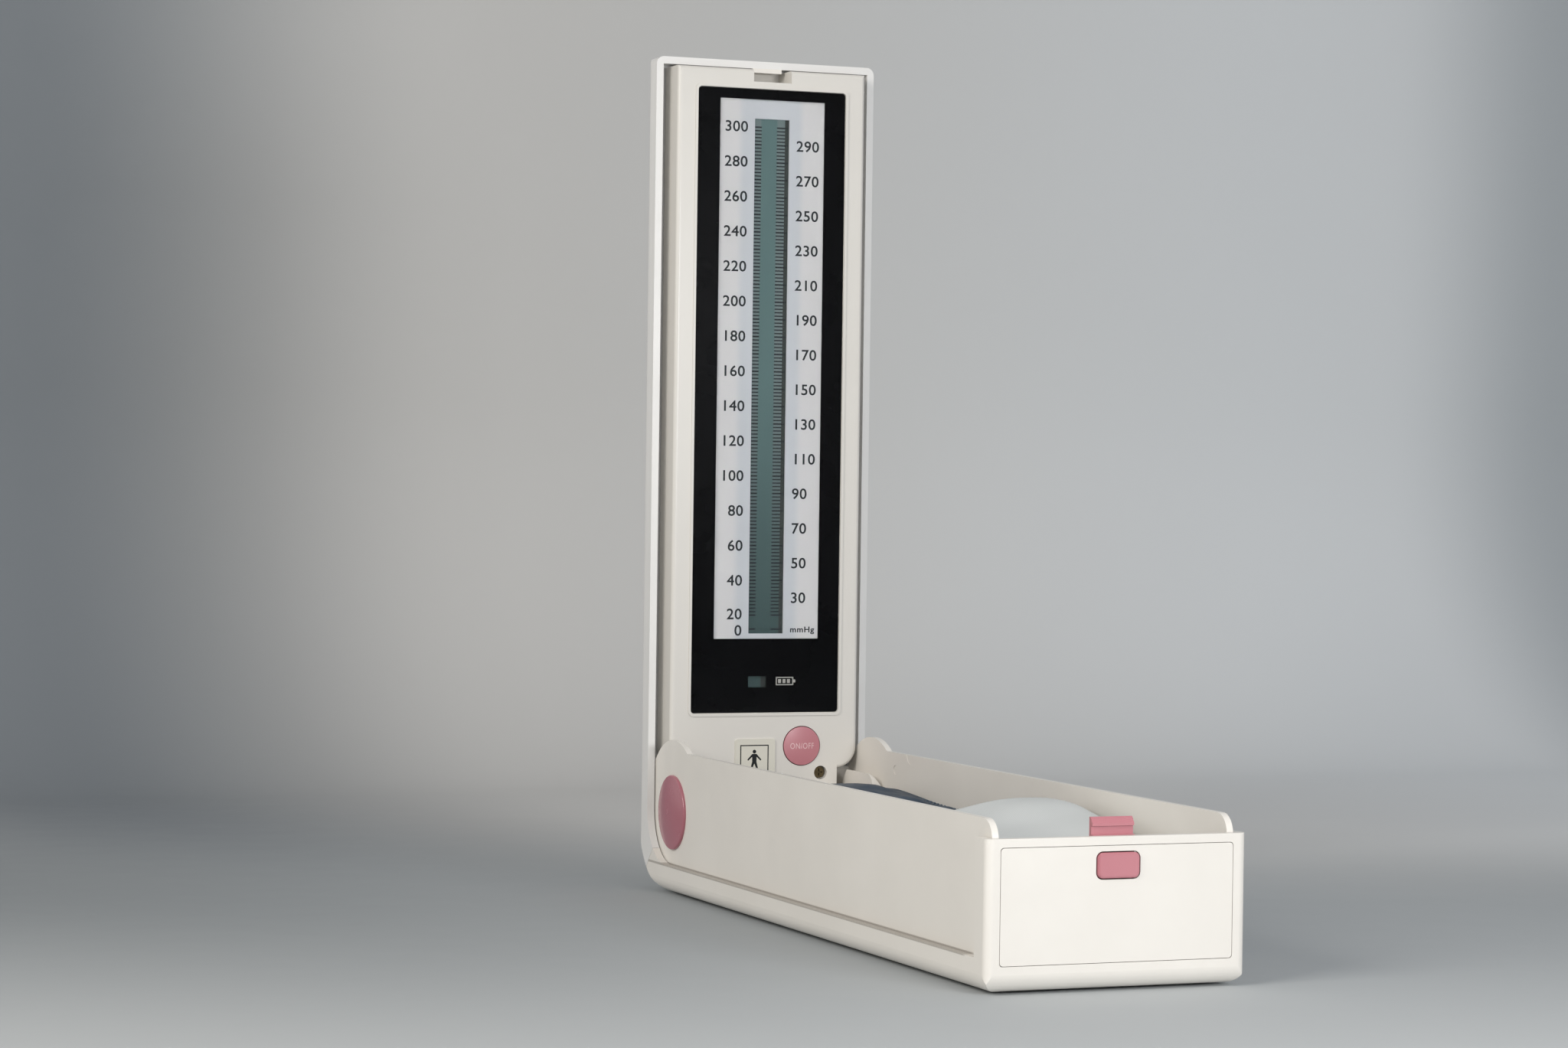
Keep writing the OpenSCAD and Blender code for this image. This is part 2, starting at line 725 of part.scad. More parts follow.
// Round cap: a low dome with a rounded rim, hollow over the pin's head
module cap_shape() {
    rim_h = cap_h / 2;
    edge = 0.7;
    cap_r = cap_d / 2;
    rise = cap_h - rim_h;
    flat_r = cap_r - edge;
    dome_r = (flat_r * flat_r + rise * rise) / (2 * rise);
    translate([tray_out, pivot_y, pivot_z]) rotate([0, 90, 0]) difference() {
        rotate_extrude() {
            rect(0, 0, cap_r, rim_h - edge);
            rect(0, 0, flat_r, rim_h);
            translate([flat_r, rim_h - edge]) intersection() {
                circle(edge);
                square(2 * edge);
            }
            intersection() {
                translate([0, cap_h - dome_r]) circle(dome_r, $fn = 360);
                rect(0, rim_h - eps, flat_r, cap_h);
            }
        }
        translate([0, 0, -eps]) cylinder(r = head_r + 0.2, h = head_t + 0.2);
    }
}

module hinge_cap_left() {
    color(rose) mirror([1, 0, 0]) cap_shape();
}

module hinge_cap_right() {
    color(rose) cap_shape();
}

module rubber_feet() {
    color([0.2, 0.2, 0.21]) for (x = [-foot_x, foot_x], y = foot_ys) translate([x, y, 0]) {
        cylinder(r1 = foot_d / 2 - 0.5, r2 = foot_d / 2, h = 0.5);
        translate([0, 0, 0.5]) cylinder(d = foot_d, h = foot_h + foot_sunk - 0.5);
    }
}

// A countersunk screw that points up from z = 0, with a cross recess in its head
module flat_screw(length) {
    difference() {
        union() {
            cylinder(r1 = screw_head_d / 2, r2 = screw_d / 2, h = screw_head_h);
            cylinder(r = pilot_r, h = length);
        }
        for (a = [0, 90]) rotate(a) box([-screw_head_d / 4, -0.35, -eps], [screw_head_d / 4, 0.35, 0.7]);
    }
}

module base_screws() {
    color("silver") for (x = [-base_screw_x, base_screw_x], y = base_screw_ys)
        translate([x, y, foot_h + 0.1]) flat_screw(base_screw_l);
}

// Folded cuff and cloth: plain closed cushions of the right outer size
module arm_cuff() {
    pad_r = 7;
    color([0.10, 0.16, 0.32]) union() {
        along_x(-cuff_half, cuff_half)
            round_rect(cuff_y0, floor_z + soft_gap, cuff_y1, cuff_top, pad_r);
        along_x(-lug_x1 + 1, lug_x1 - 1)
            round_rect(cuff_y0 + lobe_in_y, floor_z + lobe_in_z, cuff_lobe_y1, cuff_top, pad_r);
    }
}

module folded_cloth() {
    fold_r = 9;
    color([0.72, 0.76, 0.79]) along_x(-cuff_half, cuff_half - 2)
        round_rect(cloth_y0, floor_z + soft_gap, cloth_y0 + cloth_l, cloth_top, fold_r);
}

// Outer form of the lid: side, front and plan outlines crossed with each other
module lid_side_outline() {
    top_r = 4;
    rect(rim_r, 0, hinge_r, reach - top_r);
    rect(rim_r, 0, hinge_r - top_r, reach);
    translate([hinge_r - top_r, reach - top_r]) circle(top_r);
    ring_part(rim_r, hinge_r, -seam_angle + seam_gap / hinge_r * 180 / PI, 0.5);
}

module lid_front_outline() {
    rect(-half_w, -hinge_r, half_w, reach - lid_corner_r);
    rect(-half_w + lid_corner_r, -hinge_r, half_w - lid_corner_r, reach);
    for (side = [-1, 1])
        translate([side * (half_w - lid_corner_r), reach - lid_corner_r]) circle(lid_corner_r);
}

module lid_room_outline() {
    rect(0, 0, lid_in_r, reach - wall_t);
    intersection() {
        circle(lid_in_r);
        rect(0, -hinge_r, hinge_r, eps);
    }
}

module battery_cover_outline(grow) {
    round_rect(-bay_cover_half_x - grow, battery_v - bay_cover_half_v - grow,
        bay_cover_half_x + grow, battery_v + bay_cover_half_v + grow, 2);
}

module battery_bay_outline(grow) {
    side_x = bay_half_x + grow;
    side_v = bay_half_v + grow;
    rect(-side_x, battery_v - side_v, side_x, battery_v + side_v);
}

module lid_shell() {
    color(warm_white) difference() {
        intersection() {
            about_axis(-half_w, half_w) lid_side_outline();
            lid_plate(0, hinge_r + 1) lid_front_outline();
            linear_extrude(big) case_plan_outline();
        }
        about_axis(-inner_half_w, inner_half_w) lid_room_outline();
        lid_plate(cover_seat_w, hinge_r + 1) battery_cover_outline(battery_cover_gap);
        lid_plate(lid_in_r - 1, hinge_r) battery_bay_outline(1.4);
        for (x = [-lid_screw_x, lid_screw_x], v = lid_screw_vs) lid_at(x, 0, v) {
            lid_rod(screw_d / 2 + 0.15, lid_in_r - 1, hinge_r + 1);
            translate([0, hinge_r + eps, 0]) rotate([90, 0, 0])
                cylinder(r1 = screw_head_d / 2 + 0.15, r2 = screw_d / 2 + 0.15, h = screw_head_h);
        }
        lid_at(0, 0, battery_v - bay_cover_half_v + 3)
            lid_rod(1.6, lid_in_r - 1, hinge_r);
    }
}

// Catch for the latch hook, on the inside of the lid's end wall
module lid_catch() {
    top_v = reach - wall_t;
    lip_w0 = catch_lip_z - pivot_z;
    lip_tip = hook_y0 - 0.1 - wall_t;
    color(warm_white) about_axis(-catch_half, catch_half) {
        rect(lip_w0, top_v - catch_t, lip_w0 + catch_l, top_v);
        rect(lip_w0, top_v - lip_tip, lip_w0 + catch_lip_t, top_v);
    }
}

// Display housing: side outline about the hinge axis, and front outline with its neck
module housing_side_outline() {
    polygon([[face_w, neck_bottom], neck_pt, neck_corner, ramp_top, [housing_back, housing_top],
        [face_w, housing_top]]);
    intersection() {
        circle(neck_r);
        wedge(neck_r, asin(neck_bottom / neck_r), neck_angle);
        rect(face_w, neck_bottom, neck_r, neck_r);
    }
}

module housing_front_outline() {
    rect(-neck_half, neck_bottom - 1, neck_half, housing_top);
    rect(-housing_half, shoulder_v + shoulder_r, housing_half, housing_top);
    for (side = [-1, 1]) translate([side * neck_half, shoulder_v + shoulder_r]) circle(shoulder_r);
}

module housing_form() {
    intersection() {
        about_axis(-housing_half, housing_half) housing_side_outline();
        lid_plate(0, hinge_r) housing_front_outline();
    }
}

module housing_room_outline() {
    low = neck_bottom + housing_t;
    low_r = neck_r - housing_t;
    bend = neck_angle + asin(housing_t / low_r);
    ramp_v = (housing_t + back_in * sin(neck_angle)) / cos(neck_angle);
    polygon([[face_in, low], [sqrt(low_r * low_r - low * low), low], low_r * [cos(bend), sin(bend)],
        [back_in, ramp_v], [back_in, room_top], [face_in, room_top]]);
}

module housing_room() {
    neck_in = neck_half - housing_t;
    intersection() {
        about_axis(-room_half, room_half) housing_room_outline();
        lid_plate(0, hinge_r) {
            rect(-room_half, shoulder_v + shoulder_r, room_half, room_top);
            rect(-neck_in, shoulder_v + housing_t, neck_in, room_top);
            rect(-lug_x0, 0, lug_x0, room_top);
        }
    }
    lid_at(0, port_w, neck_bottom + housing_t) cylinder(r = tube_r + 0.3, h = sensor_v);
}

// The part of the housing that belongs to the front moulding
module front_half_outline() {
    rect(0, 0, neck_split_w, reach);
    rect(0, neck_split_v, split_w, reach);
}

// Cutter that rounds the straight or curved front edges of the face
module edge_profile() {
    difference() {
        translate([-face_edge_r, -1]) square([face_edge_r + 1, face_edge_r + 1]);
        translate([-face_edge_r, face_edge_r]) circle(face_edge_r);
    }
}

module round_upright_edge(x, v0, v1) {
    translate([x, pivot_y + face_w, pivot_z + v0]) linear_extrude(v1 - v0) edge_profile();
}

module round_shoulder_edge(side) {
    translate([side * neck_half, pivot_y + face_w, pivot_z + shoulder_v + shoulder_r])
        rotate([-90, 0, 0]) rotate(side > 0 ? 0 : 90) rotate_extrude(angle = 90)
            translate([shoulder_r, 0]) edge_profile();
}

module display_front() {
    outline_in = 0.2;
    color(pale_white) difference() {
        union() {
            difference() {
                intersection() {
                    housing_form();
                    about_axis(-housing_half, housing_half) front_half_outline();
                }
                housing_room();
            }
            intersection() {
                housing_form();
                both_sides() lid_at(recess_x, 0, recess_v) lid_rod(recess_d / 2 + 1.2, face_w, neck_split_w);
            }
            lid_plate(face_w - lip_h, face_w + 1) window_outline(outline_in + lip_w, 2.4);
            lid_plate(face_w + 1, split_w) notch_outline(notch_wall);
        }
        both_sides() round_upright_edge(housing_half, shoulder_v + shoulder_r, big);
        round_shoulder_edge(1);
        round_shoulder_edge(-1);
        translate([-big / 2, pivot_y + face_w, pivot_z + housing_top])
            rotate([90, 0, 90]) linear_extrude(big)
            edge_profile_end();
        lid_plate(face_w - 1, window_w1) window_outline(outline_in, 1.7);
        lid_plate(face_w, face_in + eps) window_outline(-ledge_in, 1);
        lid_at(button_x, 0, button_v) lid_rod(button_d / 2 + 0.35, face_w - 1, face_in + 1);
        both_sides() lid_at(recess_x, 0, recess_v) {
            lid_rod(recess_d / 2, face_w - 1, face_w + recess_depth);
            lid_rod(screw_d / 2, face_w, neck_split_w + 1);
        }
        lid_at(0, port_w, 0) cylinder(r = port_r + 0.05, h = port_bore_l);
        lid_plate(0, hinge_r) notch_outline(0);
    }
}

// Rounds the front edge of the housing's free end
module edge_profile_end() {
    difference() {
        translate([-1, -face_edge_r]) square([face_edge_r + 1, face_edge_r + 1]);
        translate([face_edge_r, -face_edge_r]) circle(face_edge_r);
    }
}

// Pocket for the latch hook in the housing's free end
module notch_outline(grow) {
    side_x = notch_w / 2 + grow;
    top_v = grow > 0 ? housing_top - 1 : big;
    rect(-side_x, housing_top - notch_h - grow, side_x, top_v);
}

module window_outline(grow, r) {
    round_rect(-window_w / 2 - grow, window_v - grow, window_w / 2 + grow, window_v + window_h + grow, r);
}

// Back half of the housing, with the hinge lugs and the battery bay
module lug_outline() {
    away = atan2(neck_pt[1], neck_pt[0]) - acos(lug_r / neck_r);
    circle(lug_r);
    polygon([
        [0, lug_r], [face_w + 0.05, lug_r],
        [neck_split_w + 0.1, lug_r], [neck_split_w + 0.1, neck_corner[1]],
        neck_corner, neck_pt, lug_r * [cos(away), sin(away)]]);
}

module lug(side) {
    x0 = side > 0 ? lug_x0 : -lug_x1;
    intersection() {
        about_axis(x0, x0 + lug_w) lug_outline();
        about_axis(x0, x0 + lug_w) difference() {
            circle(neck_r);
            rect(face_w - 0.3, neck_bottom - 0.3, neck_split_w + 0.1, hinge_r);
        }
    }
}

module screw_posts() {
    for (x = [-lid_screw_x, lid_screw_x], v = lid_screw_vs)
        lid_at(x, 0, v) lid_rod(screw_d / 2 + 1.8, back_in - 6, back_in + eps);
    for (x = [-post_x, post_x], v = [board_v0 + board_post_v, board_v1 - 5])
        lid_at(x, 0, v) lid_rod(2, board_w0 + board_t + 0.05, back_in + eps);
}

module display_back() {
    seam = 0.1;
    color(pale_white) difference() {
        union() {
            difference() {
                intersection() {
                    housing_form();
                    about_axis(-housing_half, housing_half) difference() {
                        rect(0, 0, hinge_r, reach);
                        rect(0, 0, neck_split_w + seam, neck_split_v + seam);
                        rect(0, neck_split_v, split_w + seam, reach);
                    }
                }
                housing_room();
            }
            lug(1);
            lug(-1);
            screw_posts();
            lid_plate(split_w + seam, back_in + eps) notch_outline(notch_wall);
            lid_plate(bay_floor_w, housing_back) battery_bay_outline(bay_t);
            lid_at(0, 0, battery_v - bay_cover_half_v + 3) lid_rod(2.8, back_in - 5, housing_back);
        }
        lid_plate(bay_floor_w + bay_t, hinge_r) battery_bay_outline(0);
        about_axis(-half_w, half_w) circle(bush_r);
        both_sides() lid_at(recess_x, 0, recess_v)
            lid_rod(pilot_r, face_w, neck_split_w + display_screw_grip + 0.4);
        for (x = [-lid_screw_x, lid_screw_x], v = lid_screw_vs)
            lid_at(x, 0, v) lid_rod(pilot_r, back_in - 5, hinge_r);
        lid_at(0, 0, battery_v - bay_cover_half_v + 3) lid_rod(1, back_in - 4, hinge_r);
        lid_at(0, port_w, 0) cylinder(r = port_r + 0.05, h = port_bore_l);
        lid_plate(0, housing_back - notch_wall) notch_outline(0);
    }
}

module front_window() {
    color([0.05, 0.05, 0.06, 0.35]) lid_plate(window_w0, window_w1) window_outline(0, 1.5);
}

module scale_outline() {
    rect(scale_x - scale_w / 2, scale_v, scale_x + scale_w / 2, scale_v + scale_h);
}

module column_outline(grow) {
    rect(scale_x - column_w / 2 - grow, column_v - grow, scale_x + column_w / 2 + grow,
        column_v + column_h + grow);
}

module indicator_outline(grow) {
    rect(-indicator_x - indicator_w / 2 - grow, indicator_v - indicator_h / 2 - grow,
        -indicator_x + indicator_w / 2 + grow, indicator_v + indicator_h / 2 + grow);
}

module screen_mask() {
    color([0.03, 0.03, 0.035]) lid_plate(mask_w0, mask_w0 + mask_t) difference() {
        window_outline(-ledge_in - 0.2, 0.8);
        scale_outline();
        indicator_outline(0);
    }
}

module scale_plate() {
    color([0.90, 0.91, 0.92]) lid_plate(plate_w0, plate_w0 + plate_t) difference() {
        window_outline(-ledge_in - 0.2, 0.8);
        column_outline(0);
        indicator_outline(0.3);
    }
}

module column_lcd() {
    color([0.38, 0.46, 0.44]) lid_plate(cell_w0, cell_w0 + cell_t) column_outline(1.4);
}

module indicator_lcd() {
    color([0.38, 0.46, 0.44]) lid_plate(cell_w0, cell_w0 + cell_t) indicator_outline(1.4);
}

module display_board() {
    notch = sensor_size / 2 + 0.4;
    color([0.10, 0.36, 0.22]) difference() {
        lid_plate(board_w0, board_w0 + board_t) rect(-board_half, board_v0, board_half, board_v1);
        lid_plate(board_w0 - 1, board_w0 + board_t + 1) rect(-notch, 0, notch, sensor_v + sensor_size + 0.4);
    }
}

module power_switch() {
    color([0.15, 0.15, 0.16]) {
        lid_at(button_x, 0, button_v) {
            translate([-3, board_w0 - 2.6, -3]) cube([6, 2.6, 6]);
            lid_rod(1.7, face_w - button_proud + button_shell + button_travel + 0.05, board_w0 - 2);
        }
    }
}

module lcd_connector() {
    color([0.55, 0.35, 0.35]) lid_plate(cell_w0 + cell_t, board_w0)
        rect(scale_x - column_w / 2, column_v + 1, scale_x + column_w / 2, column_v + 3);
}

module pressure_sensor() {
    color([0.12, 0.12, 0.13]) union() {
        lid_at(-sensor_size / 2, port_w - 1.5, sensor_v) cube([sensor_size, 5.6, sensor_size]);
        lid_at(0, port_w, sensor_v - 4) cylinder(r = tube_bore_r - 0.02, h = 4.5);
    }
}

module air_tube() {
    color([0.45, 0.46, 0.47]) lid_at(0, port_w, tube_v0) difference() {
        cylinder(r = tube_r, h = sensor_v - 0.05 - tube_v0);
        translate([0, 0, -1]) cylinder(r = tube_bore_r, h = sensor_v - tube_v0 + 2);
    }
}

// Air port: a stub for the cuff's hose, pointing down out of the neck
module air_port() {
    color("silver") lid_at(0, port_w, 0) difference() {
        union() {
            translate([0, 0, -3]) cylinder(r = port_r, h = tube_v0 + 3 - 0.02);
            translate([0, 0, tube_v0 - 0.02]) cylinder(r = tube_bore_r - 0.02, h = 4);
        }
        translate([0, 0, -4]) cylinder(r = 0.6, h = tube_v0 + 9);
    }
}

module cell_shape() {
    nub = 1;
    rotate([0, 90, 0]) {
        cylinder(d = cell_d, h = cell_l - nub);
        translate([0, 0, cell_l - nub - eps]) cylinder(r = 1.9, h = nub);
    }
}

module battery_cells() {
    color([0.55, 0.56, 0.58]) for (i = [0, 1]) {
        dir = i == 0 ? 1 : -1;
        lid_at(-dir * (cell_l / 2 - cell_shift), cell_axis_w, battery_v + (i - 0.5) * cell_pitch)
            rotate([0, 0, i == 0 ? 0 : 180]) cell_shape();
    }
}

module battery_contacts() {
    plate = contact_t;
    reach_c = bay_half_x - plate;
    color("silver") for (side = [-1, 1], i = [0, 1])
        lid_at(side > 0 ? reach_c : -reach_c - plate, cell_axis_w - contact_w / 2,
            battery_v + (i - 0.5) * cell_pitch - contact_w / 2) cube([plate, contact_w, contact_w]);
}

// Tapered coil: one point list, ring after ring along the helix
function coil_point(t, turns, r0, r1, length, wire, a) =
    let (turn = t * turns * 360, r = r0 + (r1 - r0) * t + wire * cos(a))
    [wire * sin(a) + length * t, r * cos(turn), r * sin(turn)];

module coil(turns, r0, r1, length, wire) {
    steps = turns * 12;
    sides = 6;
    points = [
        for (s = [0:steps], k = [0:sides - 1])
            coil_point(s / steps, turns, r0, r1, length, wire, k * 360 / sides)
    ];
    walls = [for (s = [0:steps - 1], k = [0:sides - 1]) let (n = (k + 1) % sides)
        [s * sides + k, s * sides + n, (s + 1) * sides + n, (s + 1) * sides + k]];
    near_end = [[for (k = [0:sides - 1]) sides - 1 - k]];
    far_end = [[for (k = [0:sides - 1]) steps * sides + k]];
    polyhedron(points, concat(walls, near_end, far_end), convexity = 6);
}

module battery_springs() {
    wire = coil_wire / 2;
    base_x = bay_half_x - contact_t - wire - 0.05;
    free = base_x - cell_l / 2 - cell_shift - wire - 0.05;
    color("silver") for (i = [0, 1])
        lid_at(i == 0 ? -base_x : base_x, cell_axis_w, battery_v + (i - 0.5) * cell_pitch)
        mirror([i, 0, 0]) coil(3, coil_d / 2, coil_tip_d / 2, free, wire);
}

// One of the finger grooves of the battery cover
module grip_groove(v) {
    groove_r = 0.6;
    rect(-grip_half, v - groove_r, grip_half, v + groove_r);
    for (x = [-grip_half, grip_half]) translate([x, v]) circle(groove_r, $fn = 36);
}

module battery_cover() {
    color(warm_white) difference() {
        lid_plate(cover_seat_w + 0.05, hinge_r) battery_cover_outline(0);
        for (v = [-6:3:9]) lid_plate(hinge_r - 0.5, hinge_r + 1) grip_groove(battery_v + v);
        lid_at(0, 0, battery_v - bay_cover_half_v + 3) {
            lid_rod(1.35, cover_seat_w - 1, hinge_r + 1);
            lid_rod(2.3, hinge_r - 0.9, hinge_r + 1);
        }
    }
}

module battery_cover_screw() {
    color("silver") lid_at(0, 0, battery_v - bay_cover_half_v + 3) difference() {
        union() {
            lid_rod(2.1, hinge_r - 0.85, hinge_r - 0.1);
            lid_rod(1, back_in - 3, hinge_r - 0.8);
        }
        for (a = [0, 90]) rotate([0, a, 0]) box([-1.2, hinge_r - 0.45, -0.25], [1.2, hinge_r, 0.25]);
    }
}

module display_screws() {
    head_w = face_w + recess_depth - 1.15;
    seat_w = face_w + recess_depth - 0.05;
    color([0.70, 0.58, 0.30]) both_sides() lid_at(recess_x, 0, recess_v) difference() {
        union() {
            lid_rod(recess_d / 2 - 0.4, head_w, seat_w);
            lid_rod(pilot_r, head_w, neck_split_w + display_screw_grip);
        }
        for (a = [0, 90]) rotate([0, a, 0]) box([-1.5, head_w - eps, -0.3], [1.5, head_w + 0.7, 0.3]);
    }
}

module lid_screws() {
    color("silver") for (x = [-lid_screw_x, lid_screw_x], v = lid_screw_vs)
        lid_at(x, hinge_r - 0.1, v) rotate([90, 0, 0]) flat_screw(lid_screw_l);
}

// Flanged bush: a sleeve in the lug and a collar that fills the gap to the cheek
module bush_shape() {
    difference() {
        about_axis(lug_x0, cheek_x0 - 0.2) circle(bush_r);
        about_axis(0, half_w) circle(pin_d / 2 + run_gap);
    }
    difference() {
        about_axis(lug_x1, cheek_x0 - 0.2) circle(collar_r);
        about_axis(0, half_w) circle(pin_d / 2 + run_gap);
    }
}

module hinge_bush_left() {
    color([0.25, 0.25, 0.26]) mirror([1, 0, 0]) bush_shape();
}

module hinge_bush_right() {
    color([0.25, 0.25, 0.26]) bush_shape();
}

module symbol_label() {
    label_t = 0.5;
    color([0.86, 0.89, 0.86]) lid_plate(face_w - label_t, face_w) {
        x1 = button_x - button_d / 2 - label_gap;
        round_rect(x1 - label_w, label_v, x1, label_v + label_h, 1.2);
    }
}

// Power button: a domed cap with a flange behind the face
module power_button() {
    cap_r = button_d / 2;
    flange_w = face_in + 0.05;
    flange_t = 0.8;
    dome = 0.5;
    dome_r = (cap_r * cap_r + dome * dome) / (2 * dome);
    front = face_w - button_proud;
    color(rose) lid_at(button_x, 0, button_v) rotate([-90, 0, 0]) difference() {
        rotate_extrude() {
            difference() {
                union() {
                    rect(0, front + dome, cap_r, flange_w + flange_t);
                    intersection() {
                        translate([0, front + dome_r]) circle(dome_r, $fn = 360);
                        rect(0, front, cap_r, front + dome + eps);
                    }
                    rect(0, flange_w, cap_r + 1.4, flange_w + flange_t);
                }
                rect(-eps, front + button_shell, cap_r - 1.2, hinge_r);
            }
        }
    }
}

base_shell();
inner_tray();
front_cover();
hinge_cheek_left();
hinge_cheek_right();
hinge_pin_left();
hinge_pin_right();
hinge_cap_left();
hinge_cap_right();
rubber_feet();
base_screws();
latch_pin();
latch_spring();
latch_lever();
arm_cuff();
folded_cloth();
lid_shell();
lid_catch();
display_front();
display_back();
front_window();
screen_mask();
scale_plate();
column_lcd();
indicator_lcd();
display_board();
power_switch();
lcd_connector();
pressure_sensor();
air_tube();
air_port();
battery_cells();
battery_contacts();
battery_springs();
battery_cover();
battery_cover_screw();
display_screws();
lid_screws();
hinge_bush_left();
hinge_bush_right();
symbol_label();
power_button();
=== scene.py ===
# %% [markdown]
# # A desk blood pressure meter, dressed for the camera
#
# The case, lid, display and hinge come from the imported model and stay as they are. This script
# gives each of them a finish, and adds what the model leaves plain: the printed scale, the lettering
# on the button, the figure on the label, the folded cuff and the folded cloth.
#
# All lengths are in metres. X runs to the right, Y from the latch end to the hinge end, Z up.

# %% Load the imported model
import math

import bpy
import numpy as np
from mathutils import Matrix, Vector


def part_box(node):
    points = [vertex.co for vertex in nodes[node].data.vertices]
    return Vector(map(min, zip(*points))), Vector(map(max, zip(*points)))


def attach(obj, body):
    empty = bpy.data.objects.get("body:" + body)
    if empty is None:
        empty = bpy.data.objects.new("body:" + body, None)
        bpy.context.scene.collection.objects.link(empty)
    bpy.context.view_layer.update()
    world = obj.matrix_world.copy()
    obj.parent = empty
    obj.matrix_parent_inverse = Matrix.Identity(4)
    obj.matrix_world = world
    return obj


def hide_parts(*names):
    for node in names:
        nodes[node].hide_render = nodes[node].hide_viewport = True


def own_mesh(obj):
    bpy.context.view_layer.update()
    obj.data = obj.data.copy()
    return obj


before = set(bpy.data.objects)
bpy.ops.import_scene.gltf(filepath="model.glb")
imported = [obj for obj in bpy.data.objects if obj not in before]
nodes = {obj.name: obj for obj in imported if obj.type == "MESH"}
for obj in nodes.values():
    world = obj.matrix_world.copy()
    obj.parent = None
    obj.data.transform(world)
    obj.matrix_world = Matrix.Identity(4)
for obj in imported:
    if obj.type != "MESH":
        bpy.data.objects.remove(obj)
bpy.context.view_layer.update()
mm = 0.001

# %% [markdown]
# ## The camera
#
# The photograph was taken from the left of the latch end, a little above the case, with a long lens.
# Its place follows from the edges of the case in the picture, so it is written as a place, a turn
# about the vertical, a small tip and a small roll.

# %% Place the camera
camera_place = np.array([-0.5600, -1.2681, 0.1691])
camera_turn = math.radians(21.77)
camera_tip = math.radians(-0.668)
camera_roll = math.radians(0.764)
camera_lens = 84.48


def camera_axes(turn, tip, roll):
    """Right, up and backward axes: forward is turned from +Y and tipped, then all roll about it."""
    forward = np.array([math.sin(turn) * math.cos(tip), math.cos(turn) * math.cos(tip), math.sin(tip)])
    level = np.array([math.cos(turn), -math.sin(turn), 0.0])
    rise = np.cross(level, forward)
    right = math.cos(roll) * level + math.sin(roll) * rise
    up = math.cos(roll) * rise - math.sin(roll) * level
    return right, up, -forward


def place_camera():
    """A camera whose matrix has the three axes as columns and its place as the fourth."""
    lens = bpy.data.cameras.new("camera")
    lens.lens = camera_lens
    lens.sensor_width = 36.0
    lens.clip_start = 0.05
    lens.clip_end = 20.0
    camera = bpy.data.objects.new("camera", lens)
    bpy.context.scene.collection.objects.link(camera)
    matrix = np.eye(4)
    matrix[:3, :3] = np.array(camera_axes(camera_turn, camera_tip, camera_roll)).T
    matrix[:3, 3] = camera_place
    camera.matrix_world = Matrix(matrix.tolist())
    bpy.context.scene.camera = camera


place_camera()
bpy.context.scene.view_settings.view_transform = "Standard"
print("camera stands", round(float(np.linalg.norm(camera_place)), 3), "m from the middle of the case")

# %% [markdown]
# ## Light
#
# Two lamps stand in front, one at each side, so the object throws one shadow to the left and one to
# the right, as in the photograph. A third, low and close, brightens the latch end, which is
# the brightest place in the photograph. The world adds an even grey.

# %% Set up the lamps
key_place = (0.80, -1.10, 0.95)
fill_place = (-1.30, -0.62, 0.80)
low_place = (0.12, -0.96, 0.28)
middle_aim = (0.0, 0.0, 0.14)
latch_aim = (0.0, -0.17, 0.035)


def add_lamp(name, place, aim, size, power, colour):
    """A rectangular lamp turned so that it faces the aim point: its back axis runs from there to it."""
    light = bpy.data.lights.new(name, "AREA")
    light.shape = "RECTANGLE"
    light.size, light.size_y = size
    light.energy = power
    light.color = colour
    lamp = bpy.data.objects.new(name, light)
    bpy.context.scene.collection.objects.link(lamp)
    back = np.array(place) - np.array(aim)
    back = back / np.linalg.norm(back)
    right = np.cross([0.0, 0.0, 1.0], back)
    right = right / np.linalg.norm(right)
    matrix = np.eye(4)
    matrix[:3, :3] = np.array([right, np.cross(back, right), back]).T
    matrix[:3, 3] = place
    lamp.matrix_world = Matrix(matrix.tolist())


add_lamp("key_lamp", key_place, middle_aim, size=(0.60, 0.60), power=1.3, colour=(1.0, 0.99, 0.97))
add_lamp("fill_lamp", fill_place, middle_aim, size=(0.75, 0.75), power=13.8, colour=(1.0, 0.955, 0.885))
add_lamp("low_lamp", low_place, latch_aim, size=(0.34, 0.18), power=4.2, colour=(1.0, 1.0, 1.0))


def set_world(colour, strength):
    """An even background light."""
    world = bpy.data.worlds.new("studio")
    world.use_nodes = True
    background = world.node_tree.nodes["Background"]
    background.inputs["Color"].default_value = (*colour, 1.0)
    background.inputs["Strength"].default_value = strength
    bpy.context.scene.world = world


set_world(colour=(0.91, 0.93, 0.97), strength=0.43)

# %% [markdown]
# ## Surfaces from arrays
#
# Most new pieces are grids: a function of two parameters gives a point for each crossing, and the
# faces follow from the grid's numbering. One helper turns any such array into a mesh.


# %% Helpers that make meshes
def link_piece(name, mesh):
    """Puts a mesh into the scene as an object at the origin."""
    piece = bpy.data.objects.new(name, mesh)
    bpy.context.scene.collection.objects.link(piece)
    return piece


def grid_faces(rows, columns, wrap_rows=False, wrap_columns=False):
    """Corners of each square of a grid: a point's number is its row times the columns, plus its column."""
    row = np.arange(rows if wrap_rows else rows - 1)
    column = np.arange(columns if wrap_columns else columns - 1)
    r, c = np.meshgrid(row, column, indexing="ij")
    r1 = (r + 1) % rows
    c1 = (c + 1) % columns
    squares = [r * columns + c, r * columns + c1, r1 * columns + c1, r1 * columns + c]
    return np.stack(squares, -1).reshape(-1, 4)


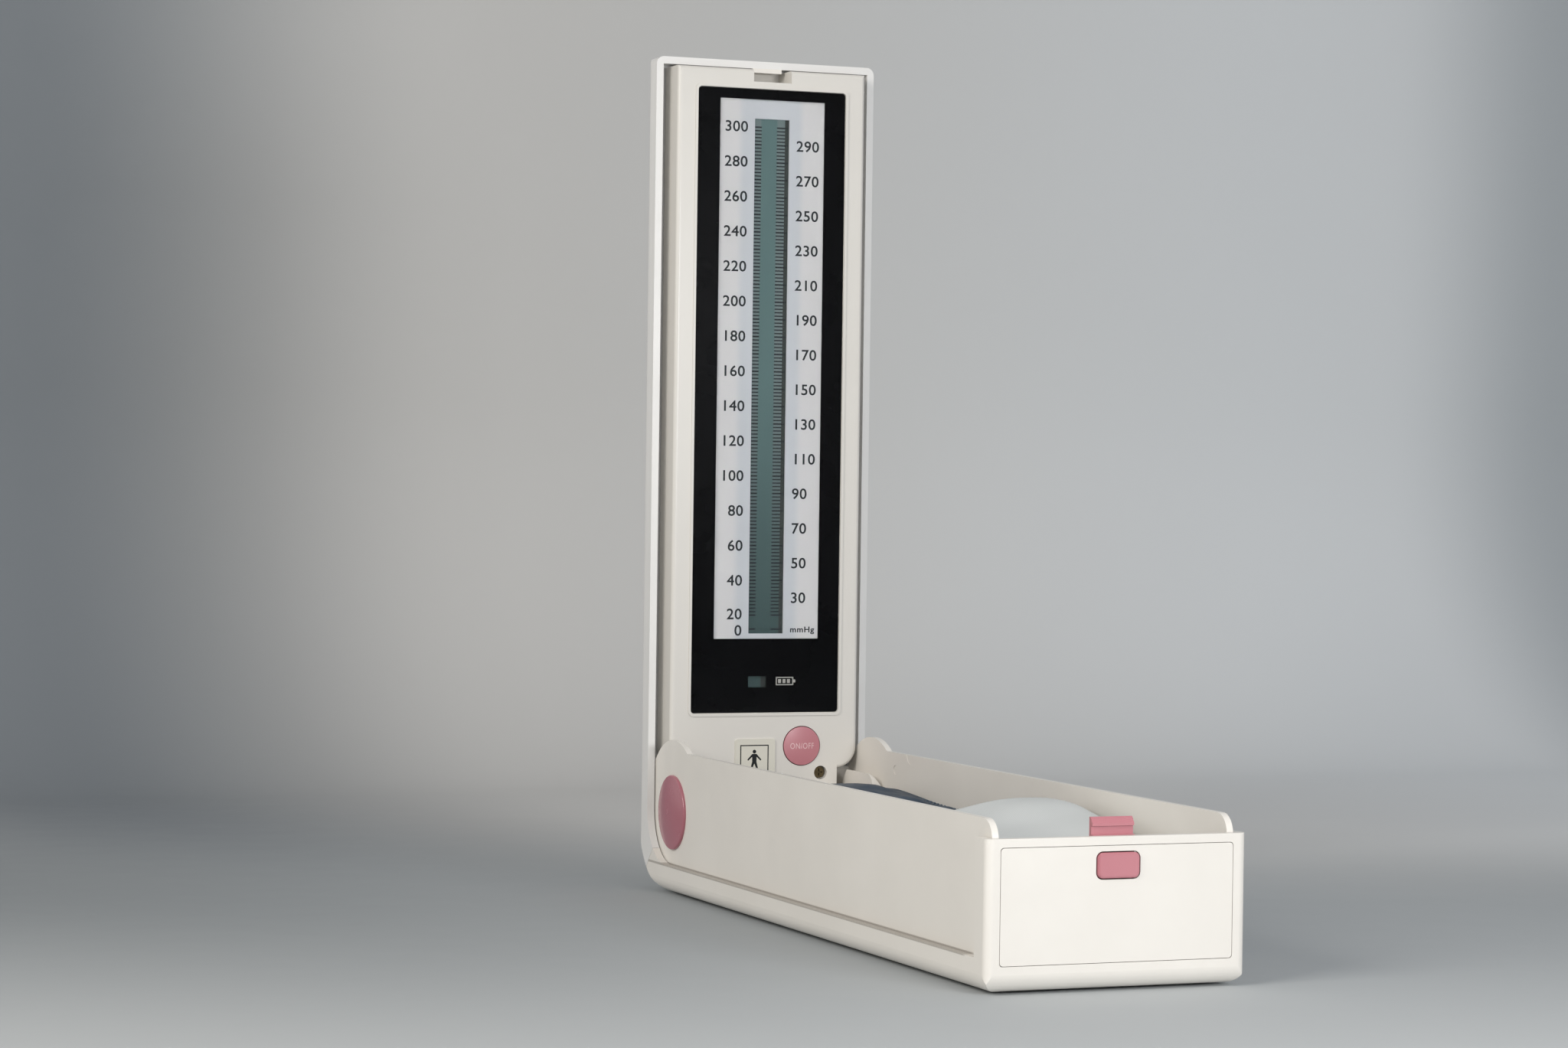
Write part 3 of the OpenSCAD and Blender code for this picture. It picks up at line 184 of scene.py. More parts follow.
def mesh_of(name, points, faces, smooth=True):
    """A mesh from an array of points and one array of four-cornered faces."""
    mesh = bpy.data.meshes.new(name)
    mesh.vertices.add(len(points))
    mesh.vertices.foreach_set("co", np.asarray(points, np.float32).ravel())
    mesh.loops.add(faces.size)
    mesh.loops.foreach_set("vertex_index", np.asarray(faces, np.int32).ravel())
    mesh.polygons.add(len(faces))
    mesh.polygons.foreach_set("loop_start", np.arange(0, faces.size, faces.shape[1], dtype=np.int32))
    mesh.polygons.foreach_set("use_smooth", np.full(len(faces), smooth))
    mesh.update(calc_edges=True)
    mesh.validate()
    return mesh


def flat_bars(name, bars, front, back):
    """Thin boxes in one mesh: a bar is (left, low, right, high), and front and back are its two Y."""
    bars = np.array(bars)
    low = np.stack([bars[:, 0], np.full(len(bars), front), bars[:, 1]], 1)
    high = np.stack([bars[:, 2], np.full(len(bars), back), bars[:, 3]], 1)
    square = np.array([[0, 0], [1, 0], [1, 1], [0, 1]])
    pick = np.vstack([np.insert(square, 2, level, axis=1) for level in (0, 1)])
    points = np.where(pick[None], high[:, None], low[:, None])
    side = np.array([[0, 3, 2, 1], [4, 5, 6, 7], [0, 1, 5, 4], [1, 2, 6, 5], [2, 3, 7, 6], [3, 0, 4, 7]])
    faces = (side[None] + len(pick) * np.arange(len(bars))[:, None, None]).reshape(-1, 4)
    return link_piece(name, mesh_of(name, points.reshape(-1, 3), faces, smooth=False))


def frame_bars(left, right, low, high, line):
    """Four bars round a field: low, high, left and right, with the upright ones between the others."""
    level = [(left, low, right, low + line), (left, high - line, right, high)]
    upright = [(x, low + line, x + line, high - line) for x in (left, right - line)]
    return level + upright


# %% [markdown]
# ## Finishes
#
# Each finish is a small tree of nodes on a Principled shader. Moulded plastic is never one flat
# colour: it has broad soft clouds, and a fine satin grain that the light catches. A noise texture on
# Object coordinates drives both, so that the pattern stays at its real size on every piece.


# %% Helpers that build node trees
class Finish:
    """A material with one Principled shader, and short ways to add the nodes that feed it."""

    def __init__(self, name):
        self.material = bpy.data.materials.new(name)
        self.material.use_nodes = True
        self.nodes = self.material.node_tree.nodes
        self.links = self.material.node_tree.links
        self.shader = self.nodes["Principled BSDF"]
        self.output = self.nodes["Material Output"]
        self.place = self.nodes.new("ShaderNodeTexCoord")

    def set(self, **values):
        """Plain numbers and colours, straight on the shader's own sockets."""
        for key, value in values.items():
            socket = self.shader.inputs[key.replace("_", " ").title().replace("Ior", "IOR")]
            socket.default_value = (*value, 1.0) if isinstance(value, tuple) else value
        return self

    def join(self, source, target):
        self.links.new(source, target)

    def noise(self, scale, detail=3.0, stretch=(1.0, 1.0, 1.0)):
        """Noise on Object coordinates, stretched by a Mapping node: scale counts features per metre."""
        mapping = self.nodes.new("ShaderNodeMapping")
        mapping.inputs["Scale"].default_value = stretch
        texture = self.nodes.new("ShaderNodeTexNoise")
        texture.inputs["Scale"].default_value = scale
        texture.inputs["Detail"].default_value = detail
        self.join(self.place.outputs["Object"], mapping.inputs["Vector"])
        self.join(mapping.outputs["Vector"], texture.inputs["Vector"])
        return texture.outputs["Fac"]

    def axis(self, name):
        """One of the Object coordinates X, Y or Z."""
        split = self.nodes.new("ShaderNodeSeparateXYZ")
        self.join(self.place.outputs["Object"], split.inputs["Vector"])
        return split.outputs[name]

    def far_from(self, name, middle):
        """How far a coordinate is from a place, to either side."""
        return self.math("ABSOLUTE", self.math("SUBTRACT", self.axis(name), middle), 0.0)

    def span(self, value, low, high, to_low=0.0, to_high=1.0, smooth=False):
        """Maps a value between two bounds onto another pair of bounds."""
        node = self.nodes.new("ShaderNodeMapRange")
        node.interpolation_type = "SMOOTHSTEP" if smooth else "LINEAR"
        bounds = {"From Min": low, "From Max": high, "To Min": to_low, "To Max": to_high}
        for key, number in bounds.items():
            node.inputs[key].default_value = number
        self.join(value, node.inputs["Value"])
        return node.outputs["Result"]

    def math(self, operation, first, second):
        """A Math node on two sockets, or a socket and a number."""
        node = self.nodes.new("ShaderNodeMath")
        node.operation = operation
        for socket, value in zip(node.inputs, (first, second)):
            if isinstance(value, (int, float)):
                socket.default_value = value
            else:
                self.join(value, socket)
        return node.outputs["Value"]

    def mix(self, share, first, second):
        """A colour between two, each a plain colour or a socket."""
        node = self.nodes.new("ShaderNodeMix")
        node.data_type = "RGBA"
        self.join(share, node.inputs["Factor"])
        for key, value in (("A", first), ("B", second)):
            socket = next(i for i in node.inputs if i.name == key and i.type == "RGBA")
            if isinstance(value, tuple):
                socket.default_value = (*value, 1.0)
            else:
                self.join(value, socket)
        return next(o for o in node.outputs if o.type == "RGBA")

    def bump(self, height, strength, distance):
        """Shades the surface as if the height stood out by the distance."""
        node = self.nodes.new("ShaderNodeBump")
        node.inputs["Strength"].default_value = strength
        node.inputs["Distance"].default_value = distance
        self.join(height, node.inputs["Height"])
        self.join(node.outputs["Normal"], self.shader.inputs["Normal"])

    def colour(self, socket):
        self.join(socket, self.shader.inputs["Base Color"])

    def rough(self, clouds, low, high, thin=0.3, thick=0.7):
        """An uneven gloss: the roughness runs between two values as the clouds go from thin to thick."""
        self.join(self.span(clouds, thin, thick, low, high), self.shader.inputs["Roughness"])

    def give_way(self, share):
        """Puts a clear shader in place of the Principled one wherever the share is 1, and returns it."""
        other = self.nodes.new("ShaderNodeBsdfTransparent")
        either = self.nodes.new("ShaderNodeMixShader")
        self.join(share, either.inputs["Fac"])
        self.join(self.shader.outputs["BSDF"], either.inputs[1])
        self.join(other.outputs["BSDF"], either.inputs[2])
        self.join(either.outputs["Shader"], self.output.inputs["Surface"])
        return other


def dress(finish, *names):
    """Gives CAD nodes their finish, in their own material slot."""
    for name in names:
        nodes[name].data.materials.clear()
        nodes[name].data.materials.append(finish.material)


satin_depth = 0.004 * mm
fine_depth = 0.001 * mm


def moulded(name, shade, deep, rough_low, rough_high, grain=5200.0, grain_depth=satin_depth):
    """Moulded plastic: two near shades in soft clouds, an uneven gloss and a fine satin grain."""
    finish = Finish(name)
    clouds = finish.noise(26.0, 4.0)
    finish.colour(finish.mix(finish.span(clouds, 0.3, 0.7), deep, shade))
    finish.rough(finish.noise(90.0), rough_low, rough_high)
    finish.bump(finish.noise(grain, 2.0), 0.25, grain_depth)
    return finish


# %% [markdown]
# ## White mouldings
#
# The case is a warm white, the lid a purer one and the display a slightly greyer one. A faint line
# of painted shade lies along the ledge where the tray's walls stand on the lower band, as the dark
# shadow gap of that seam.

# %% The white mouldings
case_white = moulded("case_white", (0.79, 0.76, 0.71), (0.755, 0.725, 0.675), 0.30, 0.42)
case_white.set(specular_ior_level=0.45)
seam_height = 12.2 * mm
front_wall = (-156 * mm, -152 * mm)
seam_shade_colour = (0.44, 0.41, 0.37)
# Painted shade: a thin band at the seam's height, behind the front wall, is darkened where the gap between
# tray and band lies in shadow.
from_seam = case_white.far_from("Z", seam_height)
near_seam = case_white.span(from_seam, 0.25 * mm, 0.65 * mm, 1.0, 0.0, smooth=True)
behind_front = case_white.span(case_white.axis("Y"), *front_wall, smooth=True)
painted_seam_shade = case_white.math("MULTIPLY", near_seam, behind_front)
clean_white = case_white.shader.inputs["Base Color"].links[0].from_socket
case_white.colour(case_white.mix(painted_seam_shade, clean_white, seam_shade_colour))
dress(case_white, "base_shell", "inner_tray", "front_cover", "lid_catch", "hinge_cheek_left",
      "hinge_cheek_right")
lid_white = moulded("lid_white", (0.775, 0.768, 0.752), (0.75, 0.743, 0.727), 0.28, 0.36)
dress(lid_white, "lid_shell", "battery_cover")
display_white = moulded("display_white", (0.695, 0.671, 0.628), (0.681, 0.657, 0.614), 0.24, 0.27)
dress(display_white, "display_front", "display_back")
print("white mouldings dressed")

# %% [markdown]
# ## Rose pieces
#
# The hinge caps, latch and power button are moulded in a dusty rose. The colour goes a little deeper
# in clouds, and the gloss is higher than on the case, with a thin clear coat over the button.

# %% Rose plastic
rose = moulded(
    "rose_plastic", (0.52, 0.205, 0.235), (0.49, 0.185, 0.215), 0.28, 0.34, grain_depth=fine_depth)
rose.set(coat_weight=0.25, coat_roughness=0.12)
dress(rose, "latch_lever", "power_button")
cap_rose = moulded(
    "rose_cap_plastic", (0.44, 0.155, 0.195), (0.39, 0.13, 0.165), 0.22, 0.30, grain_depth=fine_depth)
cap_rose.set(coat_weight=0.4, coat_roughness=0.10)
dress(cap_rose, "hinge_cap_left", "hinge_cap_right")
print("rose pieces dressed")

# %% [markdown]
# ## Dark and metal pieces
#
# The mask behind the glass is a smooth black print, which throws back very little light. The hinge
# bushes, switch and sensor are black moulded plastic, and the feet are black rubber with a dusty
# bloom. The pins, screws and springs are steel with fine marks of the lathe, and the port and the
# battery contacts are nickel plated. The two screws of the display are a dark yellow metal.

# %% Black, rubber and metal
mask_black = Finish("mask_black").set(specular_ior_level=0.06)
mask_clouds = mask_black.noise(60.0)
mask_black.colour(mask_black.mix(mask_clouds, (0.0010, 0.0010, 0.0013), (0.0022, 0.0022, 0.0026)))
mask_black.rough(mask_black.noise(200.0), 0.10, 0.14)
dress(mask_black, "screen_mask")
black_plastic = moulded("black_plastic", (0.035, 0.036, 0.038), (0.022, 0.022, 0.024), 0.42, 0.55)
dress(black_plastic, "power_switch", "pressure_sensor", "hinge_bush_left", "hinge_bush_right")
rubber = moulded(
    "foot_rubber", (0.060, 0.060, 0.062), (0.030, 0.030, 0.032), 0.72, 0.88, 3000.0, 5 * satin_depth)
dress(rubber, "rubber_feet")
tube_grey = moulded("tube_rubber", (0.20, 0.205, 0.21), (0.15, 0.155, 0.16), 0.5, 0.62)
dress(tube_grey, "air_tube")


def metal(name, shade, deep, rough_low, rough_high, stretch):
    """Bare metal: marks drawn out along one axis change its gloss, and a faint haze its colour."""
    finish = Finish(name).set(metallic=1.0)
    finish.colour(finish.mix(finish.noise(160.0), deep, shade))
    marks = finish.noise(2600.0, 3.0, stretch)
    finish.rough(marks, rough_low, rough_high)
    finish.bump(marks, 0.15, 0.003 * mm)
    return finish


steel = metal("plain_steel", (0.66, 0.66, 0.66), (0.52, 0.52, 0.53), 0.22, 0.38, (0.05, 1.0, 1.0))
dress(steel, "hinge_pin_left", "hinge_pin_right", "latch_pin", "latch_spring", "base_screws",
      "lid_screws", "battery_cover_screw")
nickel = metal("nickel_plate", (0.74, 0.71, 0.66), (0.62, 0.59, 0.54), 0.14, 0.26, (1.0, 1.0, 0.1))
dress(nickel, "air_port", "battery_contacts", "battery_springs")
brass = metal("yellow_screw", (0.115, 0.088, 0.050), (0.075, 0.058, 0.032), 0.45, 0.6, (1.0, 1.0, 0.2))
dress(brass, "display_screws")
print("dark and metal pieces dressed")

# %% [markdown]
# ## Electronics
#
# These sit inside and show only when the display is taken apart. The board is green with fine
# copper tracks under the lacquer, the contact strip has the dark and pale lines of layered rubber,
# and each cell has a plain two-colour wrap with bare ends.


# %% Board, contact strip and cells
def striped(name, axis, per_metre, first, second, rough):
    """Stripes along one axis: how far the coordinate has run through a repeat picks the colour."""
    finish = Finish(name).set(roughness=rough)
    run = finish.math("FRACT", finish.math("MULTIPLY", finish.axis(axis), per_metre), 0.0)
    finish.colour(finish.mix(finish.span(run, 0.45, 0.55), first, second))
    return finish


board_green = Finish("board_green").set(coat_weight=0.5, coat_roughness=0.15)
tracks = board_green.nodes.new("ShaderNodeTexBrick")
track_pattern = {
    "Scale": 160.0,
    "Mortar Size": 0.03,
    "Color1": (0.022, 0.130, 0.060, 1.0),
    "Color2": (0.026, 0.150, 0.070, 1.0),
    "Mortar": (0.070, 0.260, 0.110, 1.0),
}
for key, value in track_pattern.items():
    tracks.inputs[key].default_value = value
turned = board_green.nodes.new("ShaderNodeMapping")
turned.inputs["Rotation"].default_value = (math.radians(90), 0.0, 0.0)
board_green.join(board_green.place.outputs["Object"], turned.inputs["Vector"])
board_green.join(turned.outputs["Vector"], tracks.inputs["Vector"])
board_green.colour(tracks.outputs["Color"])
board_green.rough(board_green.noise(200.0), 0.3, 0.45)
dress(board_green, "display_board")
strip_finish = striped("contact_strip", "X", 2500.0, (0.02, 0.02, 0.02), (0.42, 0.28, 0.26), 0.6)
dress(strip_finish, "lcd_connector")

cell_wrap = Finish("cell_wrap").set(coat_weight=0.6, coat_roughness=0.08)
band_from = 13.5 * mm
end_from = 20.8 * mm
along = cell_wrap.far_from("X", 0.0)
haze = cell_wrap.noise(70.0)
body_shade = cell_wrap.mix(haze, (0.030, 0.032, 0.036), (0.055, 0.058, 0.064))
band_shade = cell_wrap.mix(haze, (0.52, 0.36, 0.16), (0.60, 0.43, 0.20))
past_body = cell_wrap.span(along, band_from, band_from + 0.2 * mm)
with_band = cell_wrap.mix(past_body, body_shade, band_shade)
end_shade = cell_wrap.mix(haze, (0.60, 0.59, 0.57), (0.70, 0.69, 0.67))
past_band = cell_wrap.span(along, end_from, end_from + 0.1 * mm)
cell_wrap.colour(cell_wrap.mix(past_band, with_band, end_shade))
cell_wrap.rough(haze, 0.25, 0.38)
dress(cell_wrap, "battery_cells")
print("inner pieces dressed")

# %% [markdown]
# ## The scale behind the glass
#
# Behind the dark glass stand a black mask, a milky scale plate and, in its slot, the grey-green
# liquid crystal column. The plate glows a little bluish next to the column and warmer further out.
# The column is darker along its right edge, past the active field: painted shade of its slot's side wall.

# %% Scale plate and liquid crystal cells
slot_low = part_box("column_lcd")[0]
lcd_face = slot_low.y
scale_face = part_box("scale_plate")[0].y
field_right = 6.76 * mm
edge_blur = 0.1 * mm
shade_low, shade_high = 100 * mm, 230 * mm
field_half, outer_half = 3.0 * mm, 4.2 * mm

scale_film = Finish("scale_film").set(specular_ior_level=0.2)
across = scale_film.axis("X")
near_left = scale_film.span(across, -15.0 * mm, -11.0 * mm, smooth=True)
near_right = scale_film.span(across, 12.0 * mm, 16.0 * mm, 1.0, 0.0, smooth=True)
bluish = scale_film.math("MULTIPLY", near_left, near_right)
film_clouds = scale_film.noise(45.0, 2.0)
glow = scale_film.mix(film_clouds, (0.460, 0.450, 0.447), (0.482, 0.473, 0.468))
tint = scale_film.mix(film_clouds, (0.392, 0.403, 0.420), (0.415, 0.427, 0.443))
scale_film.colour(scale_film.mix(bluish, glow, tint))
scale_film.rough(scale_film.noise(300.0), 0.5, 0.65)
dress(scale_film, "scale_plate")


def liquid_crystal(name, right_edge, middle):
    """A grey-green cell: darker below, greyer outside its middle, and with painted shade past its right
    edge.
    """
    finish = Finish(name).set(specular_ior_level=0.06)
    clouds = finish.noise(38.0, 3.0, (1.6, 1.0, 0.35))
    field = finish.mix(finish.span(clouds, 0.25, 0.75), (0.072, 0.118, 0.116), (0.080, 0.130, 0.127))
    outer = finish.mix(clouds, (0.108, 0.138, 0.140), (0.118, 0.150, 0.152))
    outward = finish.span(finish.far_from("X", middle), field_half, outer_half, smooth=True)
    shade = finish.mix(outward, field, outer)
    height = finish.span(finish.axis("Z"), shade_low, shade_high, smooth=True)
    shade = finish.mix(height, (0.040, 0.066, 0.065), shade)
    # Painted shade: past the right edge the cell turns dark, as the side wall of its slot in shadow.
    painted_slot_shade = finish.mix(clouds, (0.030, 0.034, 0.032), (0.036, 0.040, 0.037))
    past = finish.span(finish.axis("X"), right_edge - edge_blur, right_edge + edge_blur)
    finish.colour(finish.mix(past, shade, painted_slot_shade))
    finish.rough(clouds, 0.40, 0.44, thin=0.2, thick=0.8)
    return finish


# Both cells carry the painted slot shade past the right edge they are given.
dress(liquid_crystal("column_crystal", right_edge=field_right, middle=-0.3 * mm), "column_lcd")
dress(liquid_crystal("indicator_crystal", right_edge=-1.0 * mm, middle=-4.2 * mm), "indicator_lcd")
print("scale and cells dressed")

# %% [markdown]
# ## The glass
#
# The window is a clear pane with a faint smoky tint. A Principled shader with full transmission
# would keep lamp light from the scale, because Cycles treats glass as solid to shadow rays, so a Mix
# shader lets exactly those rays through.

# %% Window glass
glass = Finish("window_glass").set(base_color=(0.93, 0.94, 0.95), transmission_weight=1.0, ior=1.15)
glass.rough(glass.noise(120.0, 2.0), 0.0, 0.012)
path = glass.nodes.new("ShaderNodeLightPath")
clear = glass.give_way(path.outputs["Is Shadow Ray"])
clear.inputs["Color"].default_value = (0.86, 0.87, 0.88, 1.0)
dress(glass, "front_window")
print("window dressed")

# %% [markdown]
# ## Black print on the back of the glass
#
# The glass carries a black print, just inside its back face, that runs right out to its rim and
# leaves two clear fields, one for the scale and one for the small cell. Each frame is a band between
# two loops: an outer loop with round corners and an inner one round the clear field.


# %% Print the dark frames
def loop(x0, x1, z0, z1, radius, steps=6):
    """A rectangle whose corners are quarter circles, turning from its top right corner."""
    radius = np.broadcast_to(radius, 4)[:, None]
    angle = np.arange(4)[:, None] * math.pi / 2 + np.linspace(0, math.pi / 2, steps)[None]
    to_right = np.cos(angle.mean(1, keepdims=True)) > 0
    to_top = np.sin(angle.mean(1, keepdims=True)) > 0
    x = np.where(to_right, x1 - radius, x0 + radius) + radius * np.cos(angle)
    z = np.where(to_top, z1 - radius, z0 + radius) + radius * np.sin(angle)
    return np.stack([x.ravel(), z.ravel()], 1)


def band_points(outer, inner, front, back):
    """Four loops, one after the other: outer front, inner front, inner back and outer back."""
    rows = [(outer, front), (inner, front), (inner, back), (outer, back)]
    return np.concatenate([np.insert(edge, 1, y, axis=1) for edge, y in rows])


def bands(name, pairs, front, back):
    """Flat frames in one mesh, each between an outer and an inner loop with as many points."""
    points, faces, count = [], [], 0
    for outer, inner in pairs:
        points.append(band_points(outer, inner, front, back))
        faces.append(grid_faces(4, len(outer), True, True) + count)
        count += 4 * len(outer)
    mesh = mesh_of(name, np.concatenate(points), np.concatenate(faces)[:, ::-1], smooth=False)
    return link_piece(name, mesh)


pane_low, pane_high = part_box("front_window")
field_x = (-22.5 * mm, 24.1 * mm)
field_z = (103.5 * mm, 327.1 * mm)
small_x = (-7.0 * mm, 1.2 * mm)
small_z = (83.3 * mm, 87.9 * mm)
print_split = 95.5 * mm
pane_corner = 1.5 * mm
field_corner = 0.3 * mm
print_thick = 0.03 * mm
print_back = pane_high.y - 0.02 * mm

upper_band = loop(pane_low.x, pane_high.x, print_split, pane_high.z, (pane_corner, pane_corner, 0, 0))
lower_band = loop(pane_low.x, pane_high.x, pane_low.z, print_split, (0, 0, pane_corner, pane_corner))
glass_print = bands("glass_print", [
    (upper_band, loop(*field_x, *field_z, field_corner)),
    (lower_band, loop(*small_x, *small_z, field_corner)),
], print_back - print_thick, print_back)
print("dark frames:", len(glass_print.data.polygons), "faces")

# %% [markdown]
# ## Tick marks
#
# The scale runs from 20 to 300 in steps of 2, with a mark for 0 just below 20. Both rows of marks
# come from one list of pressures: the left row is as long everywhere, and in the right row each
# tenth runs on to the edge of the cell. All marks are thin flat boxes in a single mesh.

# %% Print the tick marks
mark_20 = 113.25 * mm
mark_0 = 107.43 * mm
per_unit = 0.7232 * mm
mark_half, tenth_half = 0.25 * mm, 0.31 * mm
left_row_start, left_row_end = slot_low.x + 1.2 * mm, -3.64 * mm
right_row_start, tenth_end = 3.12 * mm, 8.4 * mm
ink = 0.02 * mm


def mark_height(pressure):
    """Height of a mark: even steps from 20 up, and one fixed place for 0."""
    pressure = np.asarray(pressure)
    return np.where(pressure > 0, mark_20 + (pressure - 20) * per_unit, mark_0)


def tick_marks():
    """Two boxes for each pressure, left and right of the column's clear middle."""
    pressure = np.concatenate([[0], np.arange(20, 301, 2)])
    height = mark_height(pressure)
    tenth = pressure % 10 == 0
    half = np.where(tenth, tenth_half, mark_half)
    right_row_end = np.where(tenth, tenth_end, field_right)
    low, high = height - half, height + half
    left = np.stack(np.broadcast_arrays(left_row_start, low, left_row_end, high), 1)
    right = np.stack(np.broadcast_arrays(right_row_start, low, right_row_end, high), 1)
    return flat_bars("tick_marks", np.vstack([left, right]), lcd_face - 2 * ink, lcd_face - ink)


ticks = tick_marks()
ink_black = moulded("ink_black", (0.022, 0.025, 0.027), (0.014, 0.016, 0.018), 0.6, 0.7)
ink_black.set(specular_ior_level=0.1)


def finish_piece(piece, finish, body):
    """Gives a new piece its material, in its own slot, and its body."""
    piece.data.materials.clear()
    piece.data.materials.append(finish.material)
    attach(piece, body)
    return piece


finish_piece(ticks, ink_black, "lid")
finish_piece(glass_print, mask_black, "lid")
print("tick marks:", len(ticks.data.polygons) // 6)

# %% [markdown]
# ## Numbers
#
# Plain numbers stand at every twentieth on the left and between them on the right. Each is a text
# curve with a little depth, made into a mesh, and all of them end up in one piece of print.


# %% Print the numbers
def read_all(items, key, width, kind=float):
    """One value of all the items of a mesh, as an array with a row for each."""
    values = np.zeros(len(items) * width, kind)
    items.foreach_get(key, values)
    return values.reshape(-1, width)


def thicken(points, mesh, weight):
    """Moves each outline point along the sum of its two walls' normals: both shift by the weight."""
    sizes = read_all(mesh.polygons, "loop_total", 1, int).ravel()
    corners = read_all(mesh.loops, "vertex_index", 1, int).ravel()
    normals = np.repeat(read_all(mesh.polygons, "normal", 3), sizes, axis=0)
    wall = np.abs(normals[:, 2]) < 0.5
    spot = np.unique(np.round(points[:, :2], 8), axis=0, return_inverse=True)[1].ravel()
    both = np.zeros((spot.max() + 1, 2))
    np.add.at(both, spot[corners[wall]], normals[wall, :2] / 2)
    push = 2 * both / np.maximum((both**2).sum(1, keepdims=True), 1.0)
    points[:, :2] += weight * push[spot]
    return points


def letter_points(text, size, align, thickness, stretch=1.0, spacing=1.0, weight=0.0):
    """Points and faces of a word, X to the right and Y up, with its origin at its middle height."""
    curve = bpy.data.curves.new("word", "FONT")
    curve.body = text
    curve.align_x = align
    curve.extrude = thickness / size / 2
    curve.space_character = spacing
    curve.resolution_u = 4
    word = bpy.data.objects.new("word", curve)
    bpy.context.scene.collection.objects.link(word)
    bpy.context.view_layer.update()
    mesh = bpy.data.meshes.new_from_object(word)
    points = thicken(read_all(mesh.vertices, "co", 3) * size, mesh, weight)
    faces = [list(polygon.vertices) for polygon in mesh.polygons]
    bpy.data.objects.remove(word)
    bpy.data.curves.remove(curve)
    bpy.data.meshes.remove(mesh)
    points[:, 0] *= stretch
    points[:, 1] -= (points[:, 1].max() + points[:, 1].min()) / 2
    return points, faces


def join_shapes(name, shapes):
    """Joins shapes, each a pair of points and faces, into one mesh."""
    all_faces, count = [], 0
    for points, faces in shapes:
        all_faces += [[count + corner for corner in face] for face in faces]
        count += len(points)
    mesh = bpy.data.meshes.new(name)
    mesh.from_pydata(np.concatenate([points for points, faces in shapes]).tolist(), [], all_faces)
    mesh.validate()
    mesh.update()
    return link_piece(name, mesh)


def stand_up(word, x, z, depth):
    """Puts a word upright at a place: its Y is the depth there, less the letters' own thickness."""
    points, faces = word
    right, up = points[:, 0] + x, points[:, 1] + z
    return np.stack([right, depth(right, up) - points[:, 2], up], 1), faces


number_style = {"size": 6.2 * mm, "stretch": 1.08, "spacing": 1.05, "weight": 0.09 * mm}
unit_style = {"size": 3.3 * mm, "stretch": 1.16, "spacing": 1.1, "weight": 0.08 * mm}
unit_drop = 0.55 * mm
left_numbers_end = -9.9 * mm
right_numbers_start = 11.6 * mm


def scale_depth(x, z):
    """Y just in front of the scale plate, the same everywhere."""
    return np.full(len(x), scale_face - 0.8 * ink)


def number_words():
    """0 and every twentieth from 20 to 300 on the left, and 30, 50 and so on to 290 on the right."""
    shift = {20: 0.5 * mm, 0: -0.5 * mm}
    left = [(value, left_numbers_end, "RIGHT") for value in [0, *range(20, 301, 20)]]
    right = [(value, right_numbers_start, "LEFT") for value in range(30, 300, 20)]
    words = []
    for value, x, align in left + right:
        word = letter_points(str(value), align=align, thickness=ink, **number_style)
        words.append(stand_up(word, x, float(mark_height(value)) + shift.get(value, 0.0), scale_depth))
    unit = letter_points("mmHg", align="LEFT", thickness=ink, **unit_style)
    words.append(stand_up(unit, right_numbers_start, mark_0 - unit_drop, scale_depth))
    return words


numbers = join_shapes("scale_numbers", number_words())
finish_piece(numbers, ink_black, "lid")
number_low = read_all(numbers.data.vertices, "co", 3)[:, 0].min()
print("numbers reach from x", round(float(number_low) / mm, 2), "mm")

# %% [markdown]
# ## Battery sign
#
# Next to the small indicator cell stands a plain outline of a battery, in pale print on the dark
# print of the glass.

# %% Print the battery sign
sign_back = print_back - 0.04 * mm
sign_left = 5.4 * mm
sign_right = 13.2 * mm
sign_low = 84.1 * mm
sign_high = 87.5 * mm
sign_line = 0.42 * mm
stub_inset, stub_length = 1.1 * mm, 0.9 * mm
bar_inset, bar_width = 0.9 * mm, 1.3 * mm
bar_starts = (1.0 * mm, 3.0 * mm, 5.0 * mm)


def battery_sign():
    """Four bars round a long field, a stub at its right end and three short bars in it."""
    bars = frame_bars(sign_left, sign_right, sign_low, sign_high, sign_line)
    stub_end = sign_right + stub_length
    bars.append((sign_right, sign_low + stub_inset, stub_end, sign_high - stub_inset))
    for start in bar_starts:
        left = sign_left + start
        bars.append((left, sign_low + bar_inset, left + bar_width, sign_high - bar_inset))
    return flat_bars("battery_sign", bars, sign_back - ink, sign_back)


pale_ink = moulded("pale_ink", (0.34, 0.335, 0.315), (0.30, 0.295, 0.28), 0.5, 0.6)
pale_ink.set(specular_ior_level=0.1)
sign = finish_piece(battery_sign(), pale_ink, "lid")
print("battery sign:", len(sign.data.polygons) // 6, "bars")

# %% [markdown]
# ## Lettering on the button
#
# The power button is a shallow dome with thin pale letters. Each point of the letters is pushed
# back to the dome's surface, which is part of a large ball.

# %% Print the letters on the dome
button_low, button_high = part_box("power_button")
button_x = (button_low.x + button_high.x) / 2
button_z = (button_low.z + button_high.z) / 2
dome_height = 0.5 * mm
cap_radius = 8.0 * mm
ball_radius = (cap_radius**2 + dome_height**2) / (2 * dome_height)


def dome(x, z):
    """Y of the ball's near side: its front, plus what it falls back at this distance from the middle."""
    away = (x - button_x) ** 2 + (z - button_z) ** 2
    return button_low.y - 0.5 * ink + ball_radius - np.sqrt(ball_radius**2 - away)


